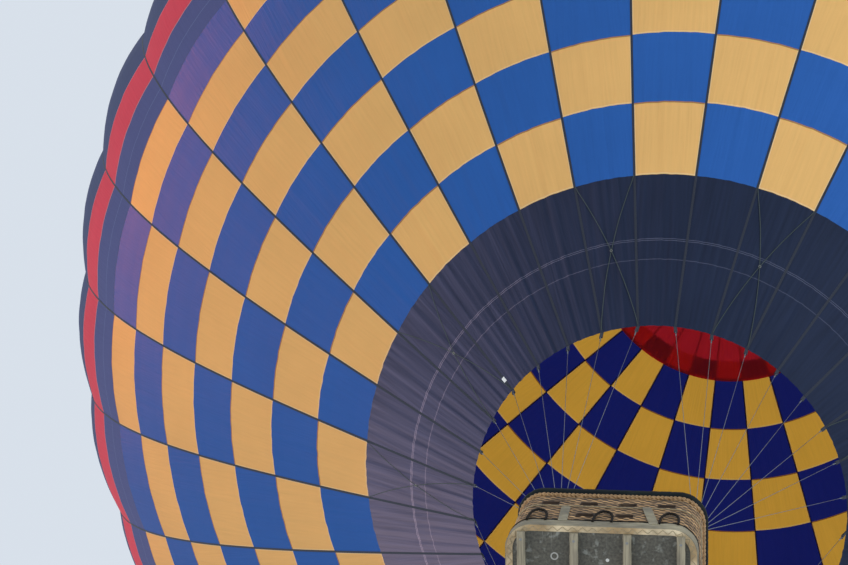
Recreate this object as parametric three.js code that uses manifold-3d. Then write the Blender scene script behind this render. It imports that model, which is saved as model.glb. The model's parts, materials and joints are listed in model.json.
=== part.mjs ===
// Hot air balloon as it flies: envelope of 32 gores, parachute valve, crown ring, flying wires, load frame,
// gimballed burners and wicker basket. Millimetres. +Z is up the envelope's axis, +Y runs along the basket,
// and the origin is the middle of the basket's underside.

import * as THREE from 'three';
import { mergeVertices } from 'three/addons/utils/BufferGeometryUtils.js';
import Module from 'manifold-3d';

const wasm = await Module();
wasm.setup();

// Envelope: lengths along a load tape are arcs, counted from the point where the cone below the mouth would close
const GORES = 32;
const TAPE_RADIUS = 11500;
const SHELL = 10;
const MOUTH_HEIGHT = 6550;
const MOUTH_ARC = 2960;
const HEM = 150;
const CHECKS_ARC = 5130;
const ROW = 1127;
const LOWER_CHECK_ROWS = 4;
const CHECK_ROWS = 7;
const SHOULDER_ROWS = 5;
const CROWN_CHECK_ROWS = 5;
const BULGE = { flat: 0.01, full: 0.07, flatRow: 5, fullRow: 12, fromMouth: 1500 };
const VENT_RADIUS = 2600;
const CONE_SLOPE = 50.1488;

// Parachute valve and crown ring
const VALVE_OVERLAP = 450;
const VALVE_GAP = 0.6;
const CROWN_RING_RADIUS = 230;
const CROWN_RING_BAR = 16;
const CROWN_TAPE = { width: 30, thickness: 8 };

// Basket
const BASKET = { halfWidth: 860, halfLength: 1710, corner: 230, wall: 50 };
const RIM = { width: 110, bottom: 1060, top: 1150 };
const RUNNER = { width: 80, height: 50, pitch: 480, count: 4 };
const FLOOR_THICKNESS = 30;
const SCUFF_BAND = { bottom: 38, top: 190, thickness: 8 };
const STEP_HOLE = { width: 170, height: 100 };
const UPPER_STEP_HEIGHT = 760;
const LOWER_STEP_HEIGHT = 400;
const UPPER_END_STEPS = [-540, -180, 180, 540];
const LOWER_END_STEPS = [-180, 180];
const PILOT_HALF_LENGTH = 355;
const PARTITION = 50;
const CYLINDER = { radius: 155, height: 880, x: 620, y: 170 };

// Load frame and what hangs on it
const FRAME = { halfWidth: 700, halfLength: 950, height: 2350, tube: 19, socket: 34, socketHalf: 60 };
const POLE = { radius: 28, footX: 845, footY: 1150 };
const LUG = { width: 56, thickness: 12, top: 2475, slotWidth: 22, slotTop: 2458, slotHeight: 34 };
const KARABINER = { width: 64, height: 124, bar: 12, inner: 10 };
const THIMBLE = { radius: 9, half: 30, reach: 22 };
const WIRE = 4;
const TAPE_LOOP = { width: 40, thickness: 9, length: 130, inside: 22 };

// Burners
const GIMBAL = { halfWidth: 400, halfLength: 480, tube: 14, bush: 25 };
const PIN = { radius: 12, hole: 12.8, shoulderGap: 5 };
const BURNER = { x: 150, y: 165, block: 140, blockHeight: 90, can: 128, canHeight: 190, sheet: 4 };
const COIL = { outer: 112, tube: 15, turns: 5 };

const GAP = 0.3;
const ROUND = 12;
const STRAND_SIDES = 4;
const SHAFT_SIDES = 16;
const CORNER_STEPS = 5;
const QUARTER = Math.PI / 2;

const MATERIALS = {
  navyCloth: new THREE.MeshStandardMaterial({ color: 0x2f3149, roughness: 0.8 }),
  blueCloth: new THREE.MeshStandardMaterial({ color: 0x325ca5, roughness: 0.8 }),
  checkedCloth: new THREE.MeshStandardMaterial({ color: 0xdeb274, roughness: 0.8 }),
  redCloth: new THREE.MeshStandardMaterial({ color: 0xdc4856, roughness: 0.8 }),
  webbing: new THREE.MeshStandardMaterial({ color: 0x1c2230, roughness: 0.9 }),
  wicker: new THREE.MeshStandardMaterial({ color: 0x8a7252, roughness: 0.9 }),
  leather: new THREE.MeshStandardMaterial({ color: 0x8c8474, roughness: 0.7 }),
  darkLeather: new THREE.MeshStandardMaterial({ color: 0x2c332f, roughness: 0.6 }),
  wood: new THREE.MeshStandardMaterial({ color: 0x9a8058, roughness: 0.8 }),
  floorBoard: new THREE.MeshStandardMaterial({ color: 0x3d4448, roughness: 0.8 }),
  steel: new THREE.MeshStandardMaterial({ color: 0xb9bcc0, roughness: 0.35, metalness: 1 }),
  aluminium: new THREE.MeshStandardMaterial({ color: 0xc4c7cb, roughness: 0.45, metalness: 1 }),
};

const balloon = new THREE.Group();

function add(name, geometry, material) {
  const mesh = new THREE.Mesh(geometry, material.clone());
  mesh.name = name;
  balloon.add(mesh);
}

// Solids: closed geometries are joined and cut as manifolds
function toManifold(geometry) {
  const bare = geometry.clone();
  bare.deleteAttribute('normal');
  bare.deleteAttribute('uv');
  const merged = mergeVertices(bare, 0.001);
  return new wasm.Manifold(new wasm.Mesh({
    numProp: 3,
    vertProperties: merged.attributes.position.array,
    triVerts: new Uint32Array(merged.index.array),
  }));
}

function fromManifold(manifold) {
  const { vertProperties, triVerts } = manifold.getMesh();
  const geometry = new THREE.BufferGeometry();
  geometry.setAttribute('position', new THREE.BufferAttribute(vertProperties, 3));
  geometry.setIndex(new THREE.BufferAttribute(triVerts, 1));
  geometry.computeVertexNormals();
  return geometry;
}

function join(geometries) {
  return fromManifold(geometries.map(toManifold).reduce((whole, piece) => whole.add(piece)));
}

function cut(geometry, tools) {
  return fromManifold(tools.map(toManifold).reduce((rest, tool) => rest.subtract(tool), toManifold(geometry)));
}

function slab(geometry, low, high) {
  const between = box(4000, 5000, high - low, 0, 0, (low + high) / 2);
  return fromManifold(toManifold(geometry).intersect(toManifold(between)));
}

function box(x, y, z, cx, cy, cz) {
  return new THREE.BoxGeometry(x, y, z).translate(cx, cy, cz);
}

// A rod of the given radius from one point to another
function rod(from, to, radius, sides = ROUND) {
  const along = new THREE.Vector3().subVectors(to, from);
  const turn = new THREE.Quaternion().setFromUnitVectors(new THREE.Vector3(0, 1, 0), along.clone().normalize());
  return new THREE.CylinderGeometry(radius, radius, along.length(), sides)
    .translate(0, along.length() / 2, 0)
    .applyQuaternion(turn)
    .translate(from.x, from.y, from.z);
}

function point(x, y, z) {
  return new THREE.Vector3(x, y, z);
}

// A section turned about the Z axis
function turned(points, segments, cx = 0, cy = 0) {
  const section = points.map(([radius, height]) => new THREE.Vector2(radius, height));
  return new THREE.LatheGeometry(section, segments).rotateX(QUARTER).translate(cx, cy, 0);
}

function roundedRectangle(path, halfWidth, halfLength, corner) {
  path.moveTo(halfWidth, -halfLength + corner);
  path.lineTo(halfWidth, halfLength - corner);
  path.absarc(halfWidth - corner, halfLength - corner, corner, 0, QUARTER);
  path.lineTo(-halfWidth + corner, halfLength);
  path.absarc(-halfWidth + corner, halfLength - corner, corner, QUARTER, 2 * QUARTER);
  path.lineTo(-halfWidth, -halfLength + corner);
  path.absarc(-halfWidth + corner, -halfLength + corner, corner, 2 * QUARTER, 3 * QUARTER);
  path.lineTo(halfWidth - corner, -halfLength);
  path.absarc(halfWidth - corner, -halfLength + corner, corner, 3 * QUARTER, 4 * QUARTER);
  return path;
}

// An upright wall that follows a rounded rectangle; inset is how far its outer face lies inside the basket's
function roundedWall(inset, thickness, bottom, top) {
  const { halfWidth, halfLength, corner } = BASKET;
  const outer = [halfWidth - inset, halfLength - inset, corner - inset];
  const shape = roundedRectangle(new THREE.Shape(), ...outer);
  if (thickness) {
    const inner = outer.map((size) => size - thickness);
    shape.holes.push(roundedRectangle(new THREE.Path(), ...inner));
  }
  return new THREE.ExtrudeGeometry(shape, { depth: top - bottom, bevelEnabled: false, curveSegments: CORNER_STEPS })
    .translate(0, 0, bottom);
}

// The natural shape of a balloon under load: for each step up the tape its slope turns by radius times height,
// so the cloth carries no tension around the girth
function naturalShape() {
  const step = 0.002;
  let [radius, height, slope] = [0, 0, THREE.MathUtils.degToRad(CONE_SLOPE)];
  const tape = [];
  while (radius >= 0) {
    tape.push({ arc: tape.length * step, radius, height, slope });
    const middleRadius = radius + Math.sin(slope) * step / 2;
    const middleHeight = height + Math.cos(slope) * step / 2;
    const middleSlope = slope - radius * height * step / 2;
    slope -= middleRadius * middleHeight * step;
    radius += Math.sin(middleSlope) * step;
    height += Math.cos(middleSlope) * step;
  }
  const scale = TAPE_RADIUS / Math.max(...tape.map((place) => place.radius));
  return tape.map((place) => ({
    arc: place.arc * scale,
    radius: place.radius * scale,
    height: place.height * scale,
    slope: place.slope,
  }));
}

const TAPE = naturalShape();
const TAPE_STEP = TAPE[1].arc;
const TOP = TAPE.at(-1);

function onTape(arc) {
  const index = Math.min(Math.floor(arc / TAPE_STEP), TAPE.length - 2);
  const share = Math.min(arc / TAPE_STEP - index, 1);
  const mix = (key) => TAPE[index][key] * (1 - share) + TAPE[index + 1][key] * share;
  return { radius: mix('radius'), height: mix('height'), slope: mix('slope') };
}

const CONE_TIP_HEIGHT = MOUTH_HEIGHT - onTape(MOUTH_ARC).height;
const VENT_ARC = TAPE.findLast((place) => place.radius > VENT_RADIUS).arc;
const VALVE_ARC = VENT_ARC - VALVE_OVERLAP;

const checkRowArc = (row) => CHECKS_ARC + ROW * row;

// How far the middle of a gore stands out from the line between its two tapes: little up to the upper checks,
// most round the widest part, nothing at the vent
function bulgeAt(arc) {
  const { flat, full, flatRow, fullRow, fromMouth } = BULGE;
  const goreWidth = 2 * Math.PI * onTape(arc).radius / GORES;
  const share = flat + (full - flat) * THREE.MathUtils.smoothstep(arc, checkRowArc(flatRow), checkRowArc(fullRow));
  const mouth = THREE.MathUtils.smoothstep(arc, MOUTH_ARC - fromMouth, CHECKS_ARC);
  const vent = 1 - THREE.MathUtils.smoothstep(arc, VALVE_ARC - 3 * ROW, VALVE_ARC);
  return share * goreWidth * mouth * vent;
}

// A point of the cloth: the place on the tape, moved in by a depth, and the bulge to give it between tapes
function clothPoint(arc, depth) {
  const { radius, height, slope } = onTape(arc);
  return {
    radius: Math.max(radius - depth * Math.cos(slope), 0),
    height: CONE_TIP_HEIGHT + height + depth * Math.sin(slope),
    out: bulgeAt(arc) * Math.cos(slope),
    down: bulgeAt(arc) * Math.sin(slope),
  };
}

// A band of cloth: its section is turned about the axis, and every second column, the middle of a gore, is let out
function clothShell(section) {
  const columns = GORES * 2;
  const goreAngle = 2 * Math.PI / GORES;
  const profile = section.map(({ radius, height }) => new THREE.Vector2(radius, height));
  const geometry = new THREE.LatheGeometry(profile, columns, -goreAngle / 2);
  const position = geometry.attributes.position;
  for (let column = 1; column < columns; column += 2) {
    const angle = goreAngle / 2 * (column - 1);
    section.forEach(({ out, down }, row) => {
      const index = column * section.length + row;
      position.setX(index, position.getX(index) + out * Math.sin(angle));
      position.setY(index, position.getY(index) - down);
      position.setZ(index, position.getZ(index) + out * Math.cos(angle));
    });
  }
  return geometry.rotateX(QUARTER);
}

function clothBand(name, from, to, rows, material) {
  const arcs = Array.from({ length: rows + 1 }, (_, row) => from + (to - from) * row / rows);
  const outer = arcs.map((arc) => clothPoint(arc, 0));
  const inner = arcs.map((arc) => clothPoint(arc, SHELL)).reverse();
  const geometry = clothShell([...outer, ...inner, outer[0]]);
  add(name, geometry, material);
  return geometry;
}

// Envelope
const middleArc = checkRowArc(LOWER_CHECK_ROWS);
const blueArc = checkRowArc(CHECK_ROWS);
const redArc = checkRowArc(CHECK_ROWS + 1);
const shoulderArc = checkRowArc(CHECK_ROWS + 2);
const crownChecksArc = checkRowArc(CHECK_ROWS + 2 + SHOULDER_ROWS);
const crownArc = checkRowArc(CHECK_ROWS + 2 + SHOULDER_ROWS + CROWN_CHECK_ROWS);
const bands = [
  { name: 'envelope_lower_cone', from: MOUTH_ARC + HEM, to: CHECKS_ARC, rows: 2, cloth: 'navyCloth' },
  { name: 'envelope_lower_checks', from: CHECKS_ARC, to: middleArc, rows: 3, cloth: 'checkedCloth' },
  { name: 'envelope_upper_checks', from: middleArc, to: blueArc, rows: 2, cloth: 'checkedCloth' },
  { name: 'envelope_blue_band', from: blueArc, to: redArc, rows: 1, cloth: 'blueCloth' },
  { name: 'envelope_red_band', from: redArc, to: shoulderArc, rows: 1, cloth: 'redCloth' },
  { name: 'envelope_shoulder', from: shoulderArc, to: crownChecksArc, rows: 5, cloth: 'navyCloth' },
  { name: 'envelope_crown_checks', from: crownChecksArc, to: crownArc, rows: 3, cloth: 'checkedCloth' },
];
bands.forEach(({ name, from, to, rows, cloth }) => clothBand(name, from + GAP, to, rows, MATERIALS[cloth]));

// The crown has a row that ends where the valve's edge lies under it, so the two keep parallel faces there
const crownArcs = [crownArc + GAP, THREE.MathUtils.lerp(crownArc, VALVE_ARC, 0.55)];
const crownOuter = [...crownArcs, VALVE_ARC, VENT_ARC].map((arc) => clothPoint(arc, 0));
const crownInner = [...crownArcs, VALVE_ARC, VENT_ARC].map((arc) => clothPoint(arc, SHELL)).reverse();
add('envelope_crown', clothShell([...crownOuter, ...crownInner, crownOuter[0]]), MATERIALS.checkedCloth);

// Parachute valve: a dome of cloth that closes the vent from below
const domeArcs = [VALVE_ARC, VENT_ARC, (VENT_ARC + TOP.arc) / 2];
const domeTop = { radius: 0, out: 0, down: 0 };
const domeDepth = SHELL + VALVE_GAP;
const domeOuter = domeArcs.map((arc) => clothPoint(arc, domeDepth));
const domeInner = domeArcs.map((arc) => clothPoint(arc, domeDepth + SHELL)).reverse();
const topHeight = CONE_TIP_HEIGHT + TOP.height;
add('parachute_valve', clothShell([
  { ...domeTop, height: topHeight - domeDepth - SHELL },
  ...domeInner,
  ...domeOuter,
  { ...domeTop, height: topHeight - domeDepth },
]), MATERIALS.redCloth);

// Crown ring: the load tapes run on over the vent and are sewn round it
function crownTape(angle) {
  const ringArc = TAPE.findLast((place) => place.radius > CROWN_RING_RADIUS).arc;
  const clearOfCorners = CROWN_TAPE.width / 2 * Math.tan(Math.PI / GORES / 2);
  const arcs = [VENT_ARC + GAP + clearOfCorners, ...domeArcs.slice(2), ringArc];
  const edge = (depth) => arcs.map((arc) => {
    const { radius, height } = clothPoint(arc, depth);
    return new THREE.Vector2(radius, height);
  });
  const shape = new THREE.Shape([...edge(0), ...edge(CROWN_TAPE.thickness).reverse()]);
  return new THREE.ExtrudeGeometry(shape, { depth: CROWN_TAPE.width, bevelEnabled: false })
    .translate(0, 0, -CROWN_TAPE.width / 2)
    .rotateX(QUARTER)
    .rotateZ(angle);
}

const tapeAngles = Array.from({ length: GORES }, (_, gore) => -QUARTER + (gore - 0.5) * 2 * Math.PI / GORES);
const RING_SIDES = 6;
const ringHeight = topHeight + CROWN_RING_BAR / 2;
const ringSection = Array.from({ length: RING_SIDES + 1 }, (_, corner) => {
  const angle = (corner + 0.5) * 4 * QUARTER / RING_SIDES;
  return [CROWN_RING_RADIUS + CROWN_RING_BAR * Math.cos(angle), ringHeight + CROWN_RING_BAR * Math.sin(angle)];
});
add('crown_ring', join([turned(ringSection, GORES), ...tapeAngles.map(crownTape)]), MATERIALS.aluminium);

// Karabiners stand on the frame's four corners, each in an upright plane through the corner's diagonal
const corners = [[1, 1], [-1, 1], [-1, -1], [1, -1]].map(([sx, sy], index) => ({
  name: ['right_rear', 'left_rear', 'left_front', 'right_front'][index],
  sx,
  sy,
  diagonal: Math.atan2(sy, sx),
}));
const karabinerBottom = LUG.slotTop - GAP - KARABINER.bar;
const thimbleHeight = karabinerBottom + KARABINER.height - KARABINER.bar - GAP - THIMBLE.radius;

function atCorner(geometry, { sx, sy, diagonal }) {
  return geometry.rotateZ(diagonal).translate(sx * FRAME.halfWidth, sy * FRAME.halfLength, 0);
}

function karabiner(corner) {
  const { width, height, bar, inner } = KARABINER;
  const shape = roundedRectangle(new THREE.Shape(), width / 2, height / 2, inner + bar);
  shape.holes.push(roundedRectangle(new THREE.Path(), width / 2 - bar, height / 2 - bar, inner));
  const ring = new THREE.ExtrudeGeometry(shape, { depth: bar, bevelEnabled: false, curveSegments: 2 })
    .translate(0, 0, -bar / 2)
    .rotateX(QUARTER)
    .translate(0, 0, karabinerBottom + height / 2);
  return atCorner(ring, corner);
}

corners.forEach((corner) => add(`karabiner_${corner.name}`, karabiner(corner), MATERIALS.steel));

// Mouth hem with the loops in the tape ends, and the wires that join them to the karabiners
function wireRoute(angle) {
  const corner = corners.find(({ sx, sy }) => sx * Math.cos(angle) > 0 && sy * Math.sin(angle) > 0);
  const { radius, height } = clothPoint(MOUTH_ARC, SHELL / 2);
  const mouth = point(radius * Math.cos(angle), radius * Math.sin(angle), height);
  const side = Math.sign(Math.sin(angle - corner.diagonal));
  const thimble = point(0, side * THIMBLE.reach, thimbleHeight).applyAxisAngle(point(0, 0, 1), corner.diagonal)
    .add(point(corner.sx * FRAME.halfWidth, corner.sy * FRAME.halfLength, 0));
  const down = new THREE.Vector3().subVectors(thimble, mouth).normalize();
  const loopEnd = mouth.clone().addScaledVector(down, TAPE_LOOP.length);
  return { angle, corner, mouth, thimble, down, loopEnd };
}

function tapeLoop({ angle, mouth, down }) {
  const across = point(-Math.sin(angle), Math.cos(angle), 0);
  const face = new THREE.Vector3().crossVectors(across, down).normalize();
  const side = new THREE.Vector3().crossVectors(down, face);
  const { width, thickness, length, inside } = TAPE_LOOP;
  return new THREE.BoxGeometry(width, length + inside, thickness)
    .translate(0, (length - inside) / 2, 0)
    .applyMatrix4(new THREE.Matrix4().makeBasis(side, down, face))
    .translate(mouth.x, mouth.y, mouth.z);
}

const wires = tapeAngles.map(wireRoute);
const hemArcs = [MOUTH_ARC, MOUTH_ARC + HEM];
const hemOuter = hemArcs.map((arc) => clothPoint(arc, 0));
const hemInner = hemArcs.map((arc) => clothPoint(arc, SHELL)).reverse();
const hem = clothShell([...hemOuter, ...hemInner, hemOuter[0]]);
add('mouth_hem', join([hem, ...wires.map(tapeLoop)]), MATERIALS.navyCloth);

corners.forEach((corner) => {
  const own = wires.filter((wire) => wire.corner === corner);
  const thimble = rod(point(0, -THIMBLE.half, thimbleHeight), point(0, THIMBLE.half, thimbleHeight), THIMBLE.radius);
  const strands = own.map((wire) => rod(wire.thimble, wire.loopEnd.clone().addScaledVector(wire.down, GAP), WIRE, STRAND_SIDES));
  add(`flying_wires_${corner.name}`, join([atCorner(thimble, corner), ...strands]), MATERIALS.steel);
});

// Load frame: tubes between corner sockets, a slotted lug on each corner and a pivot arm on each long side
function lug(corner) {
  const { width, thickness, top, slotWidth, slotTop, slotHeight } = LUG;
  const foot = FRAME.height;
  const plate = box(thickness, width, top - foot, 0, 0, (top + foot) / 2);
  const slot = box(thickness * 2, slotWidth, slotHeight, 0, 0, slotTop - slotHeight / 2);
  return atCorner(cut(plate, [slot]), corner);
}

function loadFrame() {
  const { halfWidth, halfLength, height, tube, socket, socketHalf } = FRAME;
  const pieces = [];
  for (const side of [-1, 1]) {
    const x = side * halfWidth;
    const y = side * halfLength;
    pieces.push(rod(point(x, -halfLength, height), point(x, halfLength, height), tube));
    pieces.push(rod(point(-halfWidth, y, height), point(halfWidth, y, height), tube));
    const shoulder = side * (GIMBAL.halfWidth + GIMBAL.bush + PIN.shoulderGap);
    const pinEnd = side * (GIMBAL.halfWidth - GIMBAL.bush);
    pieces.push(rod(point(x, 0, height), point(shoulder, 0, height), tube));
    pieces.push(rod(point(x, 0, height), point(pinEnd, 0, height), PIN.radius, SHAFT_SIDES));
  }
  for (const { sx, sy } of corners) {
    const [x, y] = [sx * halfWidth, sy * halfLength];
    pieces.push(rod(point(x, y, height - socketHalf), point(x, y, height + socketHalf / 2), socket));
  }
  pieces.push(...corners.map(lug));
  return join(pieces);
}

add('load_frame', loadFrame(), MATERIALS.steel);

// Poles in padded sleeves lean in from the basket's rim to the frame's sockets
corners.forEach((corner) => {
  const foot = point(corner.sx * POLE.footX, corner.sy * POLE.footY, RIM.top);
  const head = point(corner.sx * FRAME.halfWidth, corner.sy * FRAME.halfLength, FRAME.height - FRAME.socketHalf);
  const lean = new THREE.Vector3().subVectors(head, foot).multiplyScalar(0.05);
  const sleeve = rod(foot.clone().sub(lean), head.clone().add(lean), POLE.radius);
  add(`pole_${corner.name}`, slab(sleeve, foot.z + GAP, head.z - GAP), MATERIALS.leather);
});

// Gimbal: its long sides turn on the load frame's pins, and the burners turn on pins in its ends
function gimbalFrame() {
  const { halfWidth, halfLength, tube, bush } = GIMBAL;
  const { height } = FRAME;
  const pieces = [];
  const holes = [];
  for (const side of [-1, 1]) {
    const x = side * halfWidth;
    const y = side * halfLength;
    pieces.push(rod(point(x, -halfLength, height), point(x, halfLength, height), tube));
    pieces.push(rod(point(-halfWidth, y, height), point(halfWidth, y, height), tube));
    pieces.push(box(bush * 2, bush * 2, bush * 2, x, 0, height));
    pieces.push(box(bush * 2, bush * 2, bush * 2, 0, y, height));
    holes.push(rod(point(x - bush * 2, 0, height), point(x + bush * 2, 0, height), PIN.hole, SHAFT_SIDES));
    holes.push(rod(point(0, y - bush * 2, height), point(0, y + bush * 2, height), PIN.hole, SHAFT_SIDES));
  }
  for (const { sx, sy } of corners) {
    pieces.push(box(tube * 2.2, tube * 2.2, tube * 2.2, sx * halfWidth, sy * halfLength, height));
  }
  return cut(join(pieces), holes);
}

add('gimbal_frame', gimbalFrame(), MATERIALS.steel);

// Burners: a beam with two cross bars carries four valve blocks, each with a can and a vaporiser coil
const blockBottom = FRAME.height + GIMBAL.tube;
const blockTop = blockBottom + BURNER.blockHeight;
const burnerPlaces = corners.map(({ name, sx, sy }) => ({ name, x: sx * BURNER.x, y: sy * BURNER.y }));

function burnerFrame() {
  const { height } = FRAME;
  const bar = GIMBAL.tube * 2;
  const beamEnd = GIMBAL.halfLength - GIMBAL.bush - PIN.shoulderGap;
  const pinEnd = GIMBAL.halfLength + GIMBAL.bush;
  const pieces = [
    box(bar, beamEnd * 2, bar, 0, 0, height),
    rod(point(0, -pinEnd, height), point(0, pinEnd, height), PIN.radius, SHAFT_SIDES),
  ];
  for (const side of [-1, 1]) {
    pieces.push(box(BURNER.x * 2 + BURNER.block / 2, bar, bar, 0, side * BURNER.y, height));
  }
  for (const { x, y } of burnerPlaces) {
    const { block, blockHeight } = BURNER;
    pieces.push(box(block, block, blockHeight + 1, x, y, blockBottom + blockHeight / 2 - 0.5));
  }
  return join(pieces);
}

add('burner_frame', burnerFrame(), MATERIALS.steel);

burnerPlaces.forEach(({ name, x, y }) => {
  const { can, canHeight, sheet } = BURNER;
  const bottom = blockTop + GAP;
  const jetHole = can / 4;
  add(`burner_can_${name}`, turned([
    [jetHole, bottom], [can, bottom], [can, bottom + canHeight], [can - sheet, bottom + canHeight],
    [can - sheet, bottom + sheet], [jetHole, bottom + sheet], [jetHole, bottom],
  ], ROUND, x, y), MATERIALS.steel);
});

// A coil's outline: round turns outside, a plain bore inside
function coilSection(bottom) {
  const { outer, tube, turns } = COIL;
  const inner = outer - 2 * tube;
  const section = [[inner, bottom]];
  for (let turn = 0; turn < turns; turn += 1) {
    const low = bottom + turn * tube * 2;
    section.push([outer - tube / 2, low], [outer, low + tube]);
  }
  const top = bottom + turns * tube * 2;
  return [...section, [outer - tube / 2, top], [inner, top], [inner, bottom]];
}

burnerPlaces.forEach(({ name, x, y }) => {
  const section = coilSection(blockTop + BURNER.sheet + 2 * GAP);
  add(`burner_coil_${name}`, turned(section, ROUND, x, y), MATERIALS.steel);
});

// Basket: runners, floor, woven wall with step holes, padded rim, scuff band, partitions
const floorTop = RUNNER.height + FLOOR_THICKNESS;
const runnerLength = 2 * (BASKET.halfLength - 60);
for (let index = 0; index < RUNNER.count; index += 1) {
  const x = (index - (RUNNER.count - 1) / 2) * RUNNER.pitch;
  add(`runner_${index + 1}`, box(RUNNER.width, runnerLength, RUNNER.height, x, 0, RUNNER.height / 2), MATERIALS.wood);
}

add('basket_floor', roundedWall(0, 0, RUNNER.height, floorTop), MATERIALS.floorBoard);

function basketWall() {
  const { halfWidth, halfLength, wall } = BASKET;
  const { width, height } = STEP_HOLE;
  const holes = [];
  for (const side of [-1, 1]) {
    const y = side * (halfLength - wall / 2);
    const x = side * (halfWidth - wall / 2);
    holes.push(...UPPER_END_STEPS.map((along) => box(width, wall * 2, height, along, y, UPPER_STEP_HEIGHT)));
    holes.push(...LOWER_END_STEPS.map((along) => box(width, wall * 2, height, along, y, LOWER_STEP_HEIGHT)));
    holes.push(box(wall * 2, width, height, x, 0, UPPER_STEP_HEIGHT));
    holes.push(box(wall * 2, width, height, x, 0, LOWER_STEP_HEIGHT));
  }
  return cut(roundedWall(0, wall, floorTop, RIM.bottom), holes);
}

add('basket_wall', basketWall(), MATERIALS.wicker);

function basketRim() {
  const proud = (RIM.width - BASKET.wall) / 2;
  const step = 20;
  return join([
    roundedWall(-proud, RIM.width, RIM.bottom + step, RIM.top - step),
    roundedWall(step - proud, RIM.width - 2 * step, RIM.bottom, RIM.top),
  ]);
}

add('basket_rim', basketRim(), MATERIALS.darkLeather);

const { bottom: bandBottom, top: bandTop, thickness: bandThickness } = SCUFF_BAND;
add('scuff_band', roundedWall(-bandThickness - GAP, bandThickness, bandBottom, bandTop), MATERIALS.leather);

const insideWidth = BASKET.halfWidth - BASKET.wall - GAP;
const insideLength = BASKET.halfLength - BASKET.wall - GAP;
const partitionHeight = RIM.bottom - floorTop;
for (const [name, side] of [['front', -1], ['rear', 1]]) {
  const middle = floorTop + partitionHeight / 2;
  const crossY = side * (PILOT_HALF_LENGTH + PARTITION / 2);
  const longLength = insideLength - PILOT_HALF_LENGTH - PARTITION - GAP;
  const longY = side * (PILOT_HALF_LENGTH + PARTITION + GAP + longLength / 2);
  add(`cross_partition_${name}`, box(insideWidth * 2, PARTITION, partitionHeight, 0, crossY, middle), MATERIALS.wicker);
  add(`long_partition_${name}`, box(PARTITION, longLength, partitionHeight, 0, longY, middle), MATERIALS.wicker);
}

// Fuel cylinders stand on the pilot's floor: foot ring, round shoulders and a valve guard
corners.forEach(({ name, sx, sy }) => {
  const { radius, height, x, y } = CYLINDER;
  const [bottom, top] = [floorTop + GAP, floorTop + height];
  add(`fuel_cylinder_${name}`, turned([
    [0, bottom + 20], [radius * 0.7, bottom + 20], [radius * 0.7, bottom], [radius * 0.78, bottom],
    [radius * 0.78, bottom + 40], [radius, bottom + 90], [radius, top - 190], [radius * 0.85, top - 130],
    [radius * 0.6, top - 105], [radius * 0.6, top], [radius * 0.54, top], [radius * 0.54, top - 95], [0, top - 90],
  ], ROUND, sx * x, sy * y), MATERIALS.aluminium);
});

export default balloon;
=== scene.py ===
# Hot air balloon: the looks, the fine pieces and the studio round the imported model.
# Metres. +Z is up the envelope's axis, +Y runs along the basket, the origin is under the basket.
import json
import math

import bmesh
import bpy
import numpy as np
from mathutils import Matrix, Vector

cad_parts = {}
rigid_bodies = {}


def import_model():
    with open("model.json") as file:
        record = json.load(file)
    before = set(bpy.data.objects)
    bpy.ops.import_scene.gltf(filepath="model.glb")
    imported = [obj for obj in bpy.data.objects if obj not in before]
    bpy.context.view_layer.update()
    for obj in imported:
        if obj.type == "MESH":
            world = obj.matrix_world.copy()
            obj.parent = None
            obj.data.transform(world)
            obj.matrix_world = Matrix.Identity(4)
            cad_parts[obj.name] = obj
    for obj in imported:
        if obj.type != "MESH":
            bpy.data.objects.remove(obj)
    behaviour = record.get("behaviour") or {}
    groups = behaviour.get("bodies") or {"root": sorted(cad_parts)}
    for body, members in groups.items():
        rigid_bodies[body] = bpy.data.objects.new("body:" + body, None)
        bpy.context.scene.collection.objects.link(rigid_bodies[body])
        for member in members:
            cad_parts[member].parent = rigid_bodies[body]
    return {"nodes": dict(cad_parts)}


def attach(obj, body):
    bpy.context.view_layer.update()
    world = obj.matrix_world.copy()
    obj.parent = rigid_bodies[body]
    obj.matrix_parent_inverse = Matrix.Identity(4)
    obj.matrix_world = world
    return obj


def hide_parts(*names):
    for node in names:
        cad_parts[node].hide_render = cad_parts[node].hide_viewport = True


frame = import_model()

bl_info = {
    "name": "Hot Air Balloon",
    "version": (1, 0, 0),
    "blender": (4, 5, 0),
    "location": "3D View > Sidebar > Balloon",
    "description": "Cloth, rigging, burners, basket and studio of a hot air balloon",
    "category": "Add Mesh",
}

# Envelope, as in the part's source; arcs are lengths along a load tape from the closed tip of the cone
GORES = 32
GORE_TURN = 360 / GORES
TAPE_RADIUS = 11.5
CONE_SLOPE = 50.1488
SHELL = 0.010
MOUTH_HEIGHT = 6.55
MOUTH_ARC = 2.96
HEM_ARC = MOUTH_ARC + 0.15
CHECKS_ARC = 5.13
ROW = 1.127
CHECK_ROWS = 7
LOWER_ROWS = 4
SHOULDER_ROWS = 5
CROWN_CHECK_ROWS = 5
BULGE_FLAT, BULGE_FULL = 0.01, 0.07
BULGE_FLAT_ROW, BULGE_FULL_ROW = 5, 12
BULGE_FROM_MOUTH = 1.5
VENT_RADIUS = 2.6
VALVE_OVERLAP = 0.45
VALVE_GAP = 0.0006
RING_RADIUS = 0.23
RING_BAR = 0.016

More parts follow.
